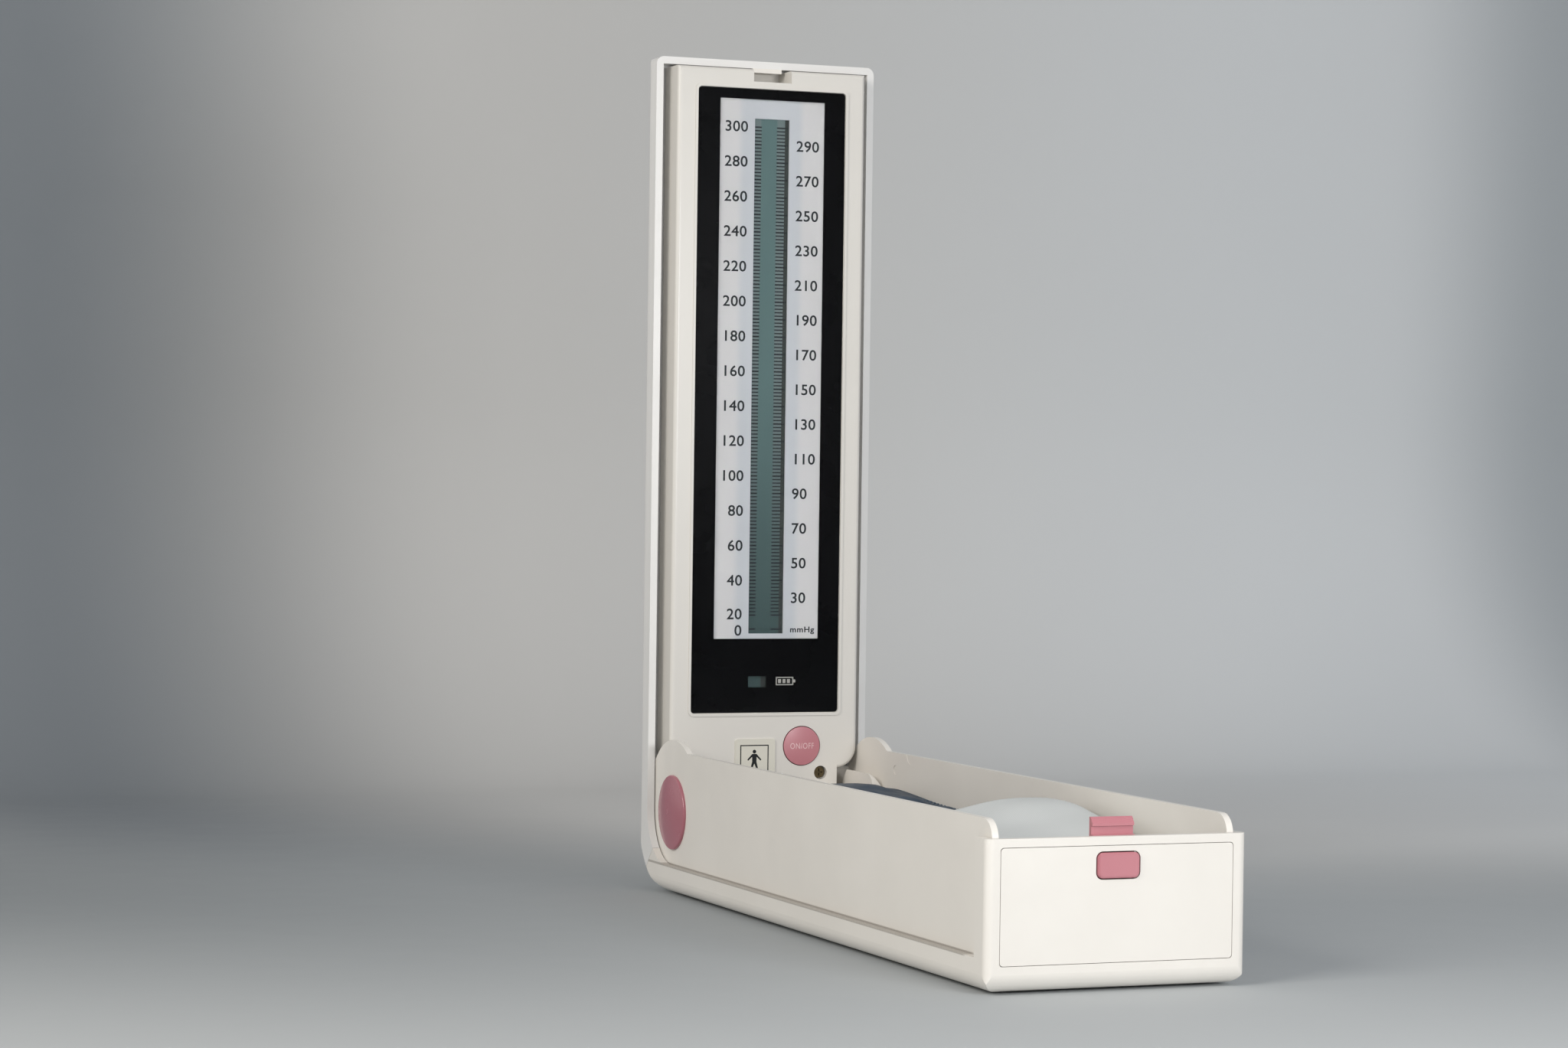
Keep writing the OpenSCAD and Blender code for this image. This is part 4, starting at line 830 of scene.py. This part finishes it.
word = letter_points("ON/OFF", 3.5 * mm, "CENTER", 2 * ink, stretch=0.78, spacing=1.12)
letters = join_shapes("button_letters", [stand_up(word, button_x, button_z, dome)])
rose_ink = moulded("rose_ink", (0.76, 0.52, 0.53), (0.71, 0.47, 0.48), 0.35, 0.45)
finish_piece(letters, rose_ink, "button")
print("button letters:", len(letters.data.vertices), "points")

# %% [markdown]
# ## Label
#
# The raised clear label carries the common sign of a standing figure in a square. The figure is one
# flat outline: half of it is listed from the neck down, and the other half is its mirror image.

# %% Label film and figure
label_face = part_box("symbol_label")[0].y
sign_depth = (label_face - 1.2 * ink, label_face - 0.2 * ink)
square_left = -10.8 * mm
square_right = 1.8 * mm
square_top = 59.5 * mm
square_bottom = square_top - (square_right - square_left)
square_line = 0.45 * mm
figure_x = (square_left + square_right) / 2
figure_top = square_top - 2.0 * mm
head_radius = 0.78 * mm

film = moulded(
    "label_film", (0.70, 0.68, 0.60), (0.67, 0.65, 0.575), 0.12, 0.18, grain_depth=fine_depth)
film.set(coat_weight=0.6, coat_roughness=0.05)
dress(film, "symbol_label")


def flat_shape(outline, front, back):
    """Points and faces of a flat plate: the outline twice, front and back, with a wall round it."""
    count = len(outline)
    points = np.concatenate([np.insert(outline, 1, y, axis=1) for y in (front, back)])
    ring = np.arange(count)
    following = (ring + 1) % count
    walls = np.stack([ring, ring + count, following + count, following], 1).tolist()
    return points, [ring.tolist(), (ring[::-1] + count).tolist()] + walls


def label_figure():
    """A round head, and one outline for the rest: its right half from the neck down, and its mirror."""
    arm = [(0.45, 1.75), (0.95, 1.75), (3.15, 4.1), (2.72, 4.55), (1.0, 2.95)]
    leg = [(0.95, 5.0), (1.75, 8.1), (1.1, 8.35), (0.0, 5.75)]
    half = np.array(arm + leg) * mm
    body = np.vstack([half, half[:-1][::-1] * [-1, 1]])
    body = np.stack([figure_x + body[:, 0], figure_top - body[:, 1]], 1)[::-1]
    turn = np.linspace(0, 2 * math.pi, 32, endpoint=False)
    middle = np.array([figure_x, figure_top - 0.8 * mm])
    head = middle + head_radius * np.stack([np.cos(turn), np.sin(turn)], 1)
    return join_shapes("label_figure", [flat_shape(outline, *sign_depth) for outline in (body, head)])


square = frame_bars(square_left, square_right, square_bottom, square_top, square_line)
finish_piece(flat_bars("label_square", square, *sign_depth), ink_black, "lid")
figure = finish_piece(label_figure(), ink_black, "lid")
print("label printed, figure of", len(figure.data.polygons), "faces")

# %% [markdown]
# ## The folded cuff
#
# The cuff is a long flat pad of coated navy cloth with a rubber bag inside, folded in four runs. Its
# surface is a section carried along a winding path: the section is thick in the middle and thin at
# the sewn hems. A cloth simulation then blows it up from inside between its hems, as the little air
# that is left in the bag does, and finer creases come last.


# %% Paths and pads
def winding(low_y, high_y, first_z, pitch, runs, step):
    """Runs along Y joined by half circles: the distance picks the run, and its rest the place in it."""
    run = high_y - low_y - pitch
    bend = math.pi * pitch / 2
    length = runs * run + (runs - 1) * bend
    s = np.linspace(0.0, length, int(length / step) + 1)
    number = np.minimum((s // (run + bend)).astype(int), runs - 1)
    inside = s - number * (run + bend)
    way = np.where(number % 2 == 0, 1.0, -1.0)
    angle = np.maximum(inside - run, 0.0) / (pitch / 2)
    start = np.where(way > 0, low_y + pitch / 2, high_y - pitch / 2)
    y = start + way * (np.minimum(inside, run) + pitch / 2 * np.sin(angle))
    z = first_z + number * pitch + pitch / 2 * (1 - np.cos(angle))
    normal_y = -np.sin(angle)
    normal_z = way * np.cos(angle)
    return s, y, z, normal_y, normal_z


def ease(value, low, high):
    """0 below low, 1 above high and a smooth S between."""
    t = np.clip((value - low) / (high - low), 0.0, 1.0)
    return t * t * (3 - 2 * t)


def ripples(seed, count, shortest, longest, *axes):
    """Sum of sine waves, about 1 high, with seeded directions, lengths and phases over the coordinates."""
    draw = np.random.default_rng(seed)
    total = 0.0
    for _ in range(count):
        length = draw.uniform(shortest, longest)
        way = draw.normal(size=len(axes))
        way = way / np.linalg.norm(way)
        phase = draw.uniform(0, 2 * math.pi)
        total = total + np.sin(2 * math.pi / length * sum(w * a for w, a in zip(way, axes)) + phase)
    return total / math.sqrt(count)


def paint_uv(mesh, along, across):
    """A UV map in metres from two arrays that hold a value for each corner of each face."""
    layer = mesh.uv_layers.new(name="UVMap")
    layer.data.foreach_set("uv", np.stack([along, across], -1).astype(np.float32).ravel())


def corner_values(rows, columns, wrap_columns, along, across):
    """Both parameters at each face corner, running on past the last column of a closed ring."""
    last_column = columns if wrap_columns else columns - 1
    r, c = np.meshgrid(np.arange(rows - 1), np.arange(last_column), indexing="ij")
    corner_r = np.stack([r, r, r + 1, r + 1], -1).reshape(-1, 4)
    corner_c = np.stack([c, c + 1, c + 1, c], -1).reshape(-1, 4)
    return along[corner_r], across[corner_c]


cuff_half = 39.5 * mm
cuff_pitch = 9.4 * mm
cuff_runs = 4
cuff_first_z = 11.2 * mm
cuff_front = -40.3 * mm
cuff_back = 116.6 * mm
lobe_back = 127.2 * mm
lobe_half = 31.2 * mm
hem_width = 4.6 * mm
hem_thick = 1.5 * mm
hem_edge = 0.35 * mm
pad_thick = 3.0 * mm
cuff_cells = 40
hem_crowding = 0.94 * math.pi / 2
hinge_lift, right_lift = 3.0 * mm, 0.7 * mm
wave_top = 2.6


def cuff_width(y, z):
    """Half width: full along the runs, and narrower where the upper folds reach the hinge lugs."""
    upper = ease(z, 17.0 * mm, 23.0 * mm)
    return cuff_half - (cuff_half - lobe_half) * upper * ease(y, 104.0 * mm, 116.0 * mm)


def cuff_path():
    """The winding path, whose upper back fold is stretched on to reach between the lugs."""
    s, y, z, ny, nz = winding(
        cuff_front, cuff_back, cuff_first_z, cuff_pitch, cuff_runs, 4.0 * mm)
    upper = ease(z, 24.0 * mm, 30.0 * mm)
    y = y + upper * ease(y, 60.0 * mm, cuff_back) * (lobe_back - cuff_back)
    return s, y, z, ny, nz


def cuff_lift(x, y, z):
    """By the square of their height, runs rise towards the hinge and a little towards the right wall."""
    rise = np.clip((z - cuff_first_z) / (3 * cuff_pitch), 0.0, 1.0) ** 2
    to_hinge = hinge_lift * ease(y, 40.0 * mm, 120.0 * mm)
    to_right = right_lift * ease(x, 5.0 * mm, 36.0 * mm)
    return rise * (to_hinge + to_right)


def cuff_surface():
    """Each row is the section at one place: across the path, plus or minus half its thickness."""
    s, y, z, ny, nz = cuff_path()
    share = np.sin(np.linspace(-1, 1, cuff_cells) * hem_crowding) / math.sin(hem_crowding)
    width = cuff_width(y, z)
    x = width[:, None] * share[None]
    from_hem = width[:, None] - np.abs(x)
    half = hem_thick + (pad_thick - hem_thick) * ease(from_hem, hem_width, hem_width + 5.0 * mm)
    half = np.where(from_hem < 0.1 * mm, hem_edge, half)
    drift = 0.35 * mm * ripples(11, 4, 60 * mm, 150 * mm, s)[:, None]
    level = z[:, None] + cuff_lift(x, y[:, None], z[:, None])
    middle = np.stack(np.broadcast_arrays(x, y[:, None], level), -1)
    side = np.stack(np.broadcast_arrays(0 * x, ny[:, None], nz[:, None]), -1)
    top = middle + side * (half + drift)[..., None]
    under = (middle - side * (half - drift)[..., None])[:, ::-1]
    return np.concatenate([top, under], 1), s, from_hem


cuff_rings, cuff_s, cuff_from_hem = cuff_surface()
print("cuff path:", round(float(cuff_s[-1]), 3), "m, rings:", len(cuff_rings))


# %% Make the pad's mesh
def pad_mesh(name, rings):
    """A closed pad: walls round all rings, and a strip of squares that closes each end."""
    rows, columns = rings.shape[:2]
    walls = grid_faces(rows, columns, False, True)
    j = np.arange(columns // 2 - 1)
    first = np.stack([j, columns - 1 - j, columns - 2 - j, j + 1], 1)
    last = (first + (rows - 1) * columns)[:, ::-1]
    faces = np.concatenate([walls, first, last])
    mesh = mesh_of(name, rings.reshape(-1, 3), faces)
    girth = np.linalg.norm(np.diff(rings[rows // 2], axis=0), axis=1)
    across = np.concatenate([[0.0], np.cumsum(girth), [girth.sum() + 0.001]])
    end_rows = np.zeros((2 * len(j), 4))
    corners = corner_values(rows, columns, True, cuff_s, across)
    paint_uv(mesh, *[np.concatenate([values, end_rows]) for values in corners])
    return mesh


cuff = link_piece("cuff_pad", pad_mesh("cuff_pad", cuff_rings))


# %% Blow the pad up between its hems
fabric = {
    "quality": 6, "mass": 0.12, "tension_stiffness": 12.0, "compression_stiffness": 6.0,
    "shear_stiffness": 4.0, "bending_stiffness": 0.25, "shrink_min": -0.05,
    "use_pressure": True, "uniform_pressure_force": 4.0, "vertex_group_mass": "hem",
}


def swell(piece, held, most, frames=20):
    """Runs the cloth simulation, then moves each point by what it did, but by no more than the cap."""
    before = read_all(piece.data.vertices, "co", 3)
    group = piece.vertex_groups.new(name="hem")
    for weight in np.unique(held[held > 0]):
        group.add(np.nonzero(held == weight)[0].tolist(), float(weight), "REPLACE")
    cloth = piece.modifiers.new("swell", "CLOTH")
    for key, value in fabric.items():
        setattr(cloth.settings, key, value)
    cloth.settings.effector_weights.gravity = 0.0
    cloth.collision_settings.use_collision = False
    scene = bpy.context.scene
    for number in range(1, frames + 1):
        scene.frame_set(number)
    blown = piece.evaluated_get(bpy.context.evaluated_depsgraph_get())
    after = read_all(blown.data.vertices, "co", 3)
    piece.modifiers.remove(cloth)
    piece.vertex_groups.remove(group)
    scene.frame_set(1)
    move = after - before
    reach = np.linalg.norm(move, axis=1, keepdims=True)
    move = move * np.minimum(1.0, most / np.maximum(reach, 1e-9))
    piece.data.vertices.foreach_set("co", (before + move).astype(np.float32).ravel())
    piece.data.update()
    return float(reach.max())


sides_from_hem = np.concatenate([cuff_from_hem, cuff_from_hem[:, ::-1]], 1)
held = 1.0 - ease(sides_from_hem, hem_width * 0.8, hem_width + 4.0 * mm)
held[:2] = 1.0
held[-2:] = 1.0
held = np.round(held.ravel(), 1)
moved = swell(cuff, held, most=1.25 * mm)
print("cuff swelled by up to", round(moved / mm, 2), "mm before the cap")


# %% Crease the pad
def crease(piece, held, depth, seed):
    """Moves each point along its normal by long low waves, by less at the hems."""
    points = read_all(piece.data.vertices, "co", 3)
    normals = read_all(piece.data.vertices, "normal", 3)
    free = 1.0 - held
    waves = ripples(seed, 7, 14 * mm, 34 * mm, points[:, 0], points[:, 1] * 0.6, points[:, 2])
    sharp = 1.0 - 2.0 * np.sqrt(np.abs(waves) / wave_top)
    points = points + normals * (depth * sharp * free)[:, None]
    piece.data.vertices.foreach_set("co", points.astype(np.float32).ravel())
    piece.data.update()


def subdivide(piece, name):
    """A rounding modifier, one level fine both in view and in the render."""
    modifier = piece.modifiers.new(name, "SUBSURF")
    modifier.levels = 1
    modifier.render_levels = 1


crease(cuff, held, 0.45 * mm, 23)
subdivide(cuff, "smooth")
print("cuff creased:", len(cuff.data.vertices), "points")

# %% [markdown]
# ## Thread and cloth of the cuff
#
# Two rows of stitches hold each hem. A stitch is a short spindle half sunk in the cloth, and the
# spindles follow the top run, where they can be seen. The cloth is a fine plain weave under a
# glossy coat, so its bump follows the UV map and its gloss is uneven.


# %% Sew the hems
def stitches(name, points, along, side, length=2.1 * mm, radius=0.22 * mm):
    """Spindles: five rings of six points along each stitch, whose radius is half a sine wave."""
    share = np.linspace(-0.5, 0.5, 5)
    fullness = 0.25 + 0.75 * np.cos(share * math.pi)
    angle = np.arange(6)[:, None] * math.pi / 3
    third = np.cross(along, side)
    ring = side[:, None, None] * np.cos(angle) + third[:, None, None] * np.sin(angle)
    run = along[:, None, None] * (share * length)[:, None, None]
    offset = run + ring * (fullness * radius)[:, None, None]
    grid = (points[:, None, None] + offset).reshape(-1, 3)
    walls = grid_faces(5, 6, False, True)
    caps = np.array([[0, 5, 4, 3], [0, 3, 2, 1], [24, 25, 26, 27], [24, 27, 28, 29]])
    one = np.concatenate([walls, caps])
    faces = (one[None] + stitch_points * np.arange(len(points))[:, None, None]).reshape(-1, 4)
    return link_piece(name, mesh_of(name, grid, faces))


stitch_points = 30
sewn_from, sewn_to = 170 * mm, 4 * mm
stitch_step = 3.2 * mm
row_insets = (1.4 * mm, 3.6 * mm)


def hem_stitches():
    """Places at even steps of the path's last part, on both hems and on the side that faces up."""
    s, y, z, ny, nz = cuff_path()
    wanted = np.arange(s[-1] - sewn_from, s[-1] - sewn_to, stitch_step)
    at_y, at_z = np.interp(wanted, s, y), np.interp(wanted, s, z)
    side_y, side_z = np.interp(wanted, s, ny), np.interp(wanted, s, nz)
    up = np.sign(side_z)
    run_y = np.interp(wanted + 0.5 * mm, s, y) - np.interp(wanted - 0.5 * mm, s, y)
    run_z = np.interp(wanted + 0.5 * mm, s, z) - np.interp(wanted - 0.5 * mm, s, z)
    points, along, side = [], [], []
    for x_side in (-1, 1):
        for inset in row_insets:
            x = x_side * (cuff_width(at_y, at_z) - inset)
            out = np.stack([0 * x, side_y * up, side_z * up], 1)
            out = out / np.linalg.norm(out, axis=1, keepdims=True)
            level = at_z + cuff_lift(x, at_y, at_z)
            points.append(np.stack([x, at_y, level], 1) + out * (hem_thick + 0.02 * mm))
            run = np.stack([0 * x, run_y, run_z], 1)
            along.append(run / np.linalg.norm(run, axis=1, keepdims=True))
            side.append(out)
    return stitches("cuff_stitches", *map(np.concatenate, (points, along, side)))


cuff_thread = hem_stitches()
print("stitches:", len(cuff_thread.data.vertices) // stitch_points)


# %% Woven finishes
def woven(name, shade, deep, thread, rough_low, rough_high, depth):
    """Plain weave: two waves along the UV map, one for each direction, feed the bump, and the colour as
    painted shade in the weave's hollows.
    """
    finish = Finish(name)
    waves = []
    for direction in ("X", "Y"):
        wave = finish.nodes.new("ShaderNodeTexWave")
        wave.bands_direction = direction
        wave.inputs["Scale"].default_value = math.pi / 10 / thread
        wave.inputs["Distortion"].default_value = 0.6
        wave.inputs["Detail Scale"].default_value = 0.4
        finish.join(finish.place.outputs["UV"], wave.inputs["Vector"])
        waves.append(wave.outputs["Fac"])
    height = finish.math("MULTIPLY", *waves)
    clouds = finish.noise(34.0, 4.0)
    base = finish.mix(finish.span(clouds, 0.3, 0.7), deep, shade)
    # Painted shade: the colour darkens where the weave is low, in the hollows between the threads.
    weave_hollow_shade = tuple(0.8 * part for part in deep)
    finish.colour(finish.mix(finish.span(height, 0.0, 0.5, 0.35, 1.0), weave_hollow_shade, base))
    finish.rough(finish.noise(120.0), rough_low, rough_high)
    finish.bump(height, 0.35, depth)
    return finish


cuff_navy = woven(
    "cuff_navy", (0.034, 0.064, 0.104), (0.024, 0.048, 0.082), 0.5 * mm, 0.42, 0.55, 0.05 * mm)
cuff_navy.set(specular_ior_level=0.22, coat_weight=0.08, coat_roughness=0.2)
finish_piece(cuff, cuff_navy, "base")
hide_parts("arm_cuff")
thread_navy = moulded("thread_navy", (0.130, 0.180, 0.240), (0.095, 0.140, 0.195), 0.5, 0.65)
thread_navy.set(specular_ior_level=0.2)
finish_piece(cuff_thread, thread_navy, "base")
for piece in (cuff, cuff_thread):
    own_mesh(piece)
cuff_top = read_all(cuff.data.vertices, "co", 3)[:, 2].max()
print("cuff top:", round(float(cuff_top) / mm, 2), "mm")

# %% [markdown]
# ## The folded cloth
#
# In front of the cuff lies a soft pale cloth, folded in eight runs. It is one sheet on a winding
# path. The pile is not level: a smooth swelling lifts its far side, and each run is lifted by its
# share of the pile's height. Solidify gives the sheet its thickness.

# %% Fold the cloth
cloth_low, cloth_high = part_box("folded_cloth")
sheet_thick = 1.9 * mm
sheet_runs = 8
sheet_left = cloth_low.x + 0.6 * mm
sheet_right = cloth_high.x - 0.4 * mm
sheet_front = cloth_low.y + sheet_thick / 2 + 0.1 * mm
sheet_back = cloth_high.y - sheet_thick / 2 - 0.1 * mm
sheet_floor = cloth_low.z + sheet_thick / 2 + 0.1 * mm
pile_top = 45.6 * mm
pile_height = pile_top - sheet_thick - sheet_floor
sheet_pitch = pile_height / (sheet_runs - 1)
bell_x, bell_y = 27 * mm, -52 * mm
bell_across, bell_along = 35 * mm, 38 * mm
bell_height = 9.8 * mm


def pile_swell(x, y):
    """Height of the swelling: a bell about a place at the right of its far end, plus a few long ripples."""
    far = ((x - bell_x) / bell_across) ** 2 + ((y - bell_y) / bell_along) ** 2
    return bell_height * np.exp(-0.5 * far) + 0.5 * mm * ripples(5, 5, 30 * mm, 80 * mm, x, y)


def cloth_surface():
    """Rows follow the path and columns run across it. The lift grows with height in the pile."""
    s, y, z = winding(sheet_front, sheet_back, sheet_floor, sheet_pitch, sheet_runs, 3.0 * mm)[:3]
    middle = (sheet_left + sheet_right) / 2
    half = (sheet_right - sheet_left) / 2
    share = np.linspace(-1, 1, 30)
    draw_in = 0.9 * mm * (0.5 + 0.25 * ripples(8, 3, 70 * mm, 200 * mm, s))
    drift = 0.35 * mm * ripples(9, 3, 80 * mm, 200 * mm, s)
    x = middle + (half - draw_in)[:, None] * share[None] + drift[:, None]
    y = np.broadcast_to(y[:, None], x.shape)
    level = np.broadcast_to(z[:, None], x.shape)
    rise = (level - sheet_floor) / pile_height
    inward = ease(y, sheet_front, sheet_front + 12 * mm) * ease(sheet_back - y, 0.0, 8 * mm)
    edge = 0.25 + 0.75 * inward
    z = level + np.maximum(pile_swell(x, y), -0.5 * mm) * rise ** 1.3 * edge
    z = z - 1.2 * mm * rise * ease(np.abs(x - middle), half - 6 * mm, half)
    return np.stack([x, y, z], -1), s, share * half


cloth_points, cloth_s, cloth_across = cloth_surface()
cloth_size = cloth_points.shape[:2]
cloth_mesh = mesh_of("cloth_sheet", cloth_points.reshape(-1, 3), grid_faces(*cloth_size))
paint_uv(cloth_mesh, *corner_values(*cloth_size, False, cloth_s, cloth_across))
cloth = link_piece("cloth_sheet", cloth_mesh)
thick = cloth.modifiers.new("thick", "SOLIDIFY")
thick.thickness = sheet_thick
thick.offset = 0.0
subdivide(cloth, "soften")

cloth_grey = woven(
    "cloth_grey", (0.70, 0.725, 0.72), (0.66, 0.685, 0.68), 0.7 * mm, 0.75, 0.9, 0.08 * mm)
cloth_grey.set(specular_ior_level=0.3)
finish_piece(cloth, cloth_grey, "base")
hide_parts("folded_cloth")
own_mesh(cloth)
print("cloth cut:", round(2 * abs(float(cloth_across[0])), 4), "by", round(float(cloth_s[-1]), 3), "m")

# %% [markdown]
# ## Floor and backdrop
#
# One sheet of paper runs under the object, bends up behind it and becomes the wall. Its colour
# holds painted light and shade, the fall of light across it in broad steps: the floor is a cool grey,
# painted darker to the left and paler in front, and painted paler towards the bend. The wall is
# painted darkest at its left in the picture, warm in the middle and paler and bluish to the right.
# Further left, out of the picture, both are pale, so that they throw light on the case's long side.
# Seen from behind the paper lets the view through, so that the object's back can be looked at too.


# %% Lay the paper
def paper_sweep():
    """A profile of floor, quarter circle and wall, carried along X."""
    near_end, floor_end, bend, wall_top, half_width = -2.6, 0.62, 0.22, 2.2, 2.6
    turn = np.linspace(0, math.pi / 2, 24)
    y = np.concatenate([[near_end], floor_end + bend * np.sin(turn), [floor_end + bend]])
    z = np.concatenate([[0.0], bend - bend * np.cos(turn), [wall_top]])
    x = np.array([-half_width, half_width])
    points = np.stack(np.broadcast_arrays(x[None, :], y[:, None], z[:, None]), -1)
    return link_piece("paper", mesh_of("paper", points.reshape(-1, 3), grid_faces(len(y), 2)))


paper = paper_sweep()
paper_grey = Finish("paper_grey")
paper_clouds = paper_grey.noise(3.0, 3.0)


def cloudy(shade):
    """A shade that is a little darker and a little paler in broad clouds."""
    weave_hollow_shade, paler = (tuple(share * part for part in shade) for share in (0.97, 1.03))
    return paper_grey.mix(paper_clouds, weave_hollow_shade, paler)


def along_x(first, *steps):
    """A shade that turns into the next one between two places along X, step by step to the right."""
    shade = cloudy(first)
    for low, high, following in steps:
        passed = paper_grey.span(paper_grey.axis("X"), low, high, smooth=True)
        shade = paper_grey.mix(passed, shade, cloudy(following))
    return shade


# Painted light and shade: the floor and wall colours step along X as the fall of light across the paper.
floor_painted_light = along_x(
    (0.420, 0.430, 0.435),
    (-0.70, -0.38, (0.250, 0.270, 0.282)),
    (-0.32, 0.08, (0.400, 0.425, 0.440)))
wall_painted_light = along_x(
    (0.800, 0.790, 0.775),
    (-0.55, -0.21, (0.213, 0.234, 0.254)),
    (-0.19, 0.07, (0.605, 0.600, 0.585)),
    (0.07, 0.70, (0.750, 0.775, 0.790)),
    (0.70, 0.85, (0.475, 0.508, 0.530)))
rightward = paper_grey.math("MULTIPLY", paper_grey.axis("X"), math.sin(camera_turn))
backward = paper_grey.math("MULTIPLY", paper_grey.axis("Y"), math.cos(camera_turn))
away = paper_grey.math("ADD", rightward, backward)
front_end, bend_start, bend_end = -0.45, 0.10, 0.47
# Painted light: the floor is paler towards the front.
painted_front_light = paper_grey.span(away, front_end, bend_start, 1.0, 0.0, smooth=True)
floor_painted_light = paper_grey.mix(painted_front_light, floor_painted_light, cloudy((0.510, 0.530, 0.535)))
# Painted light: further back, the floor already takes the wall's paler colour, ahead of the bend.
bending = paper_grey.span(away, bend_start, bend_end, smooth=True)
paper_grey.colour(paper_grey.mix(bending, floor_painted_light, wall_painted_light))
paper_grey.rough(paper_grey.noise(40.0), 0.72, 0.8)
paper_grey.give_way(paper_grey.nodes.new("ShaderNodeNewGeometry").outputs["Backfacing"])
paper.data.materials.append(paper_grey.material)
print("paper laid:", len(paper.data.polygons), "faces")
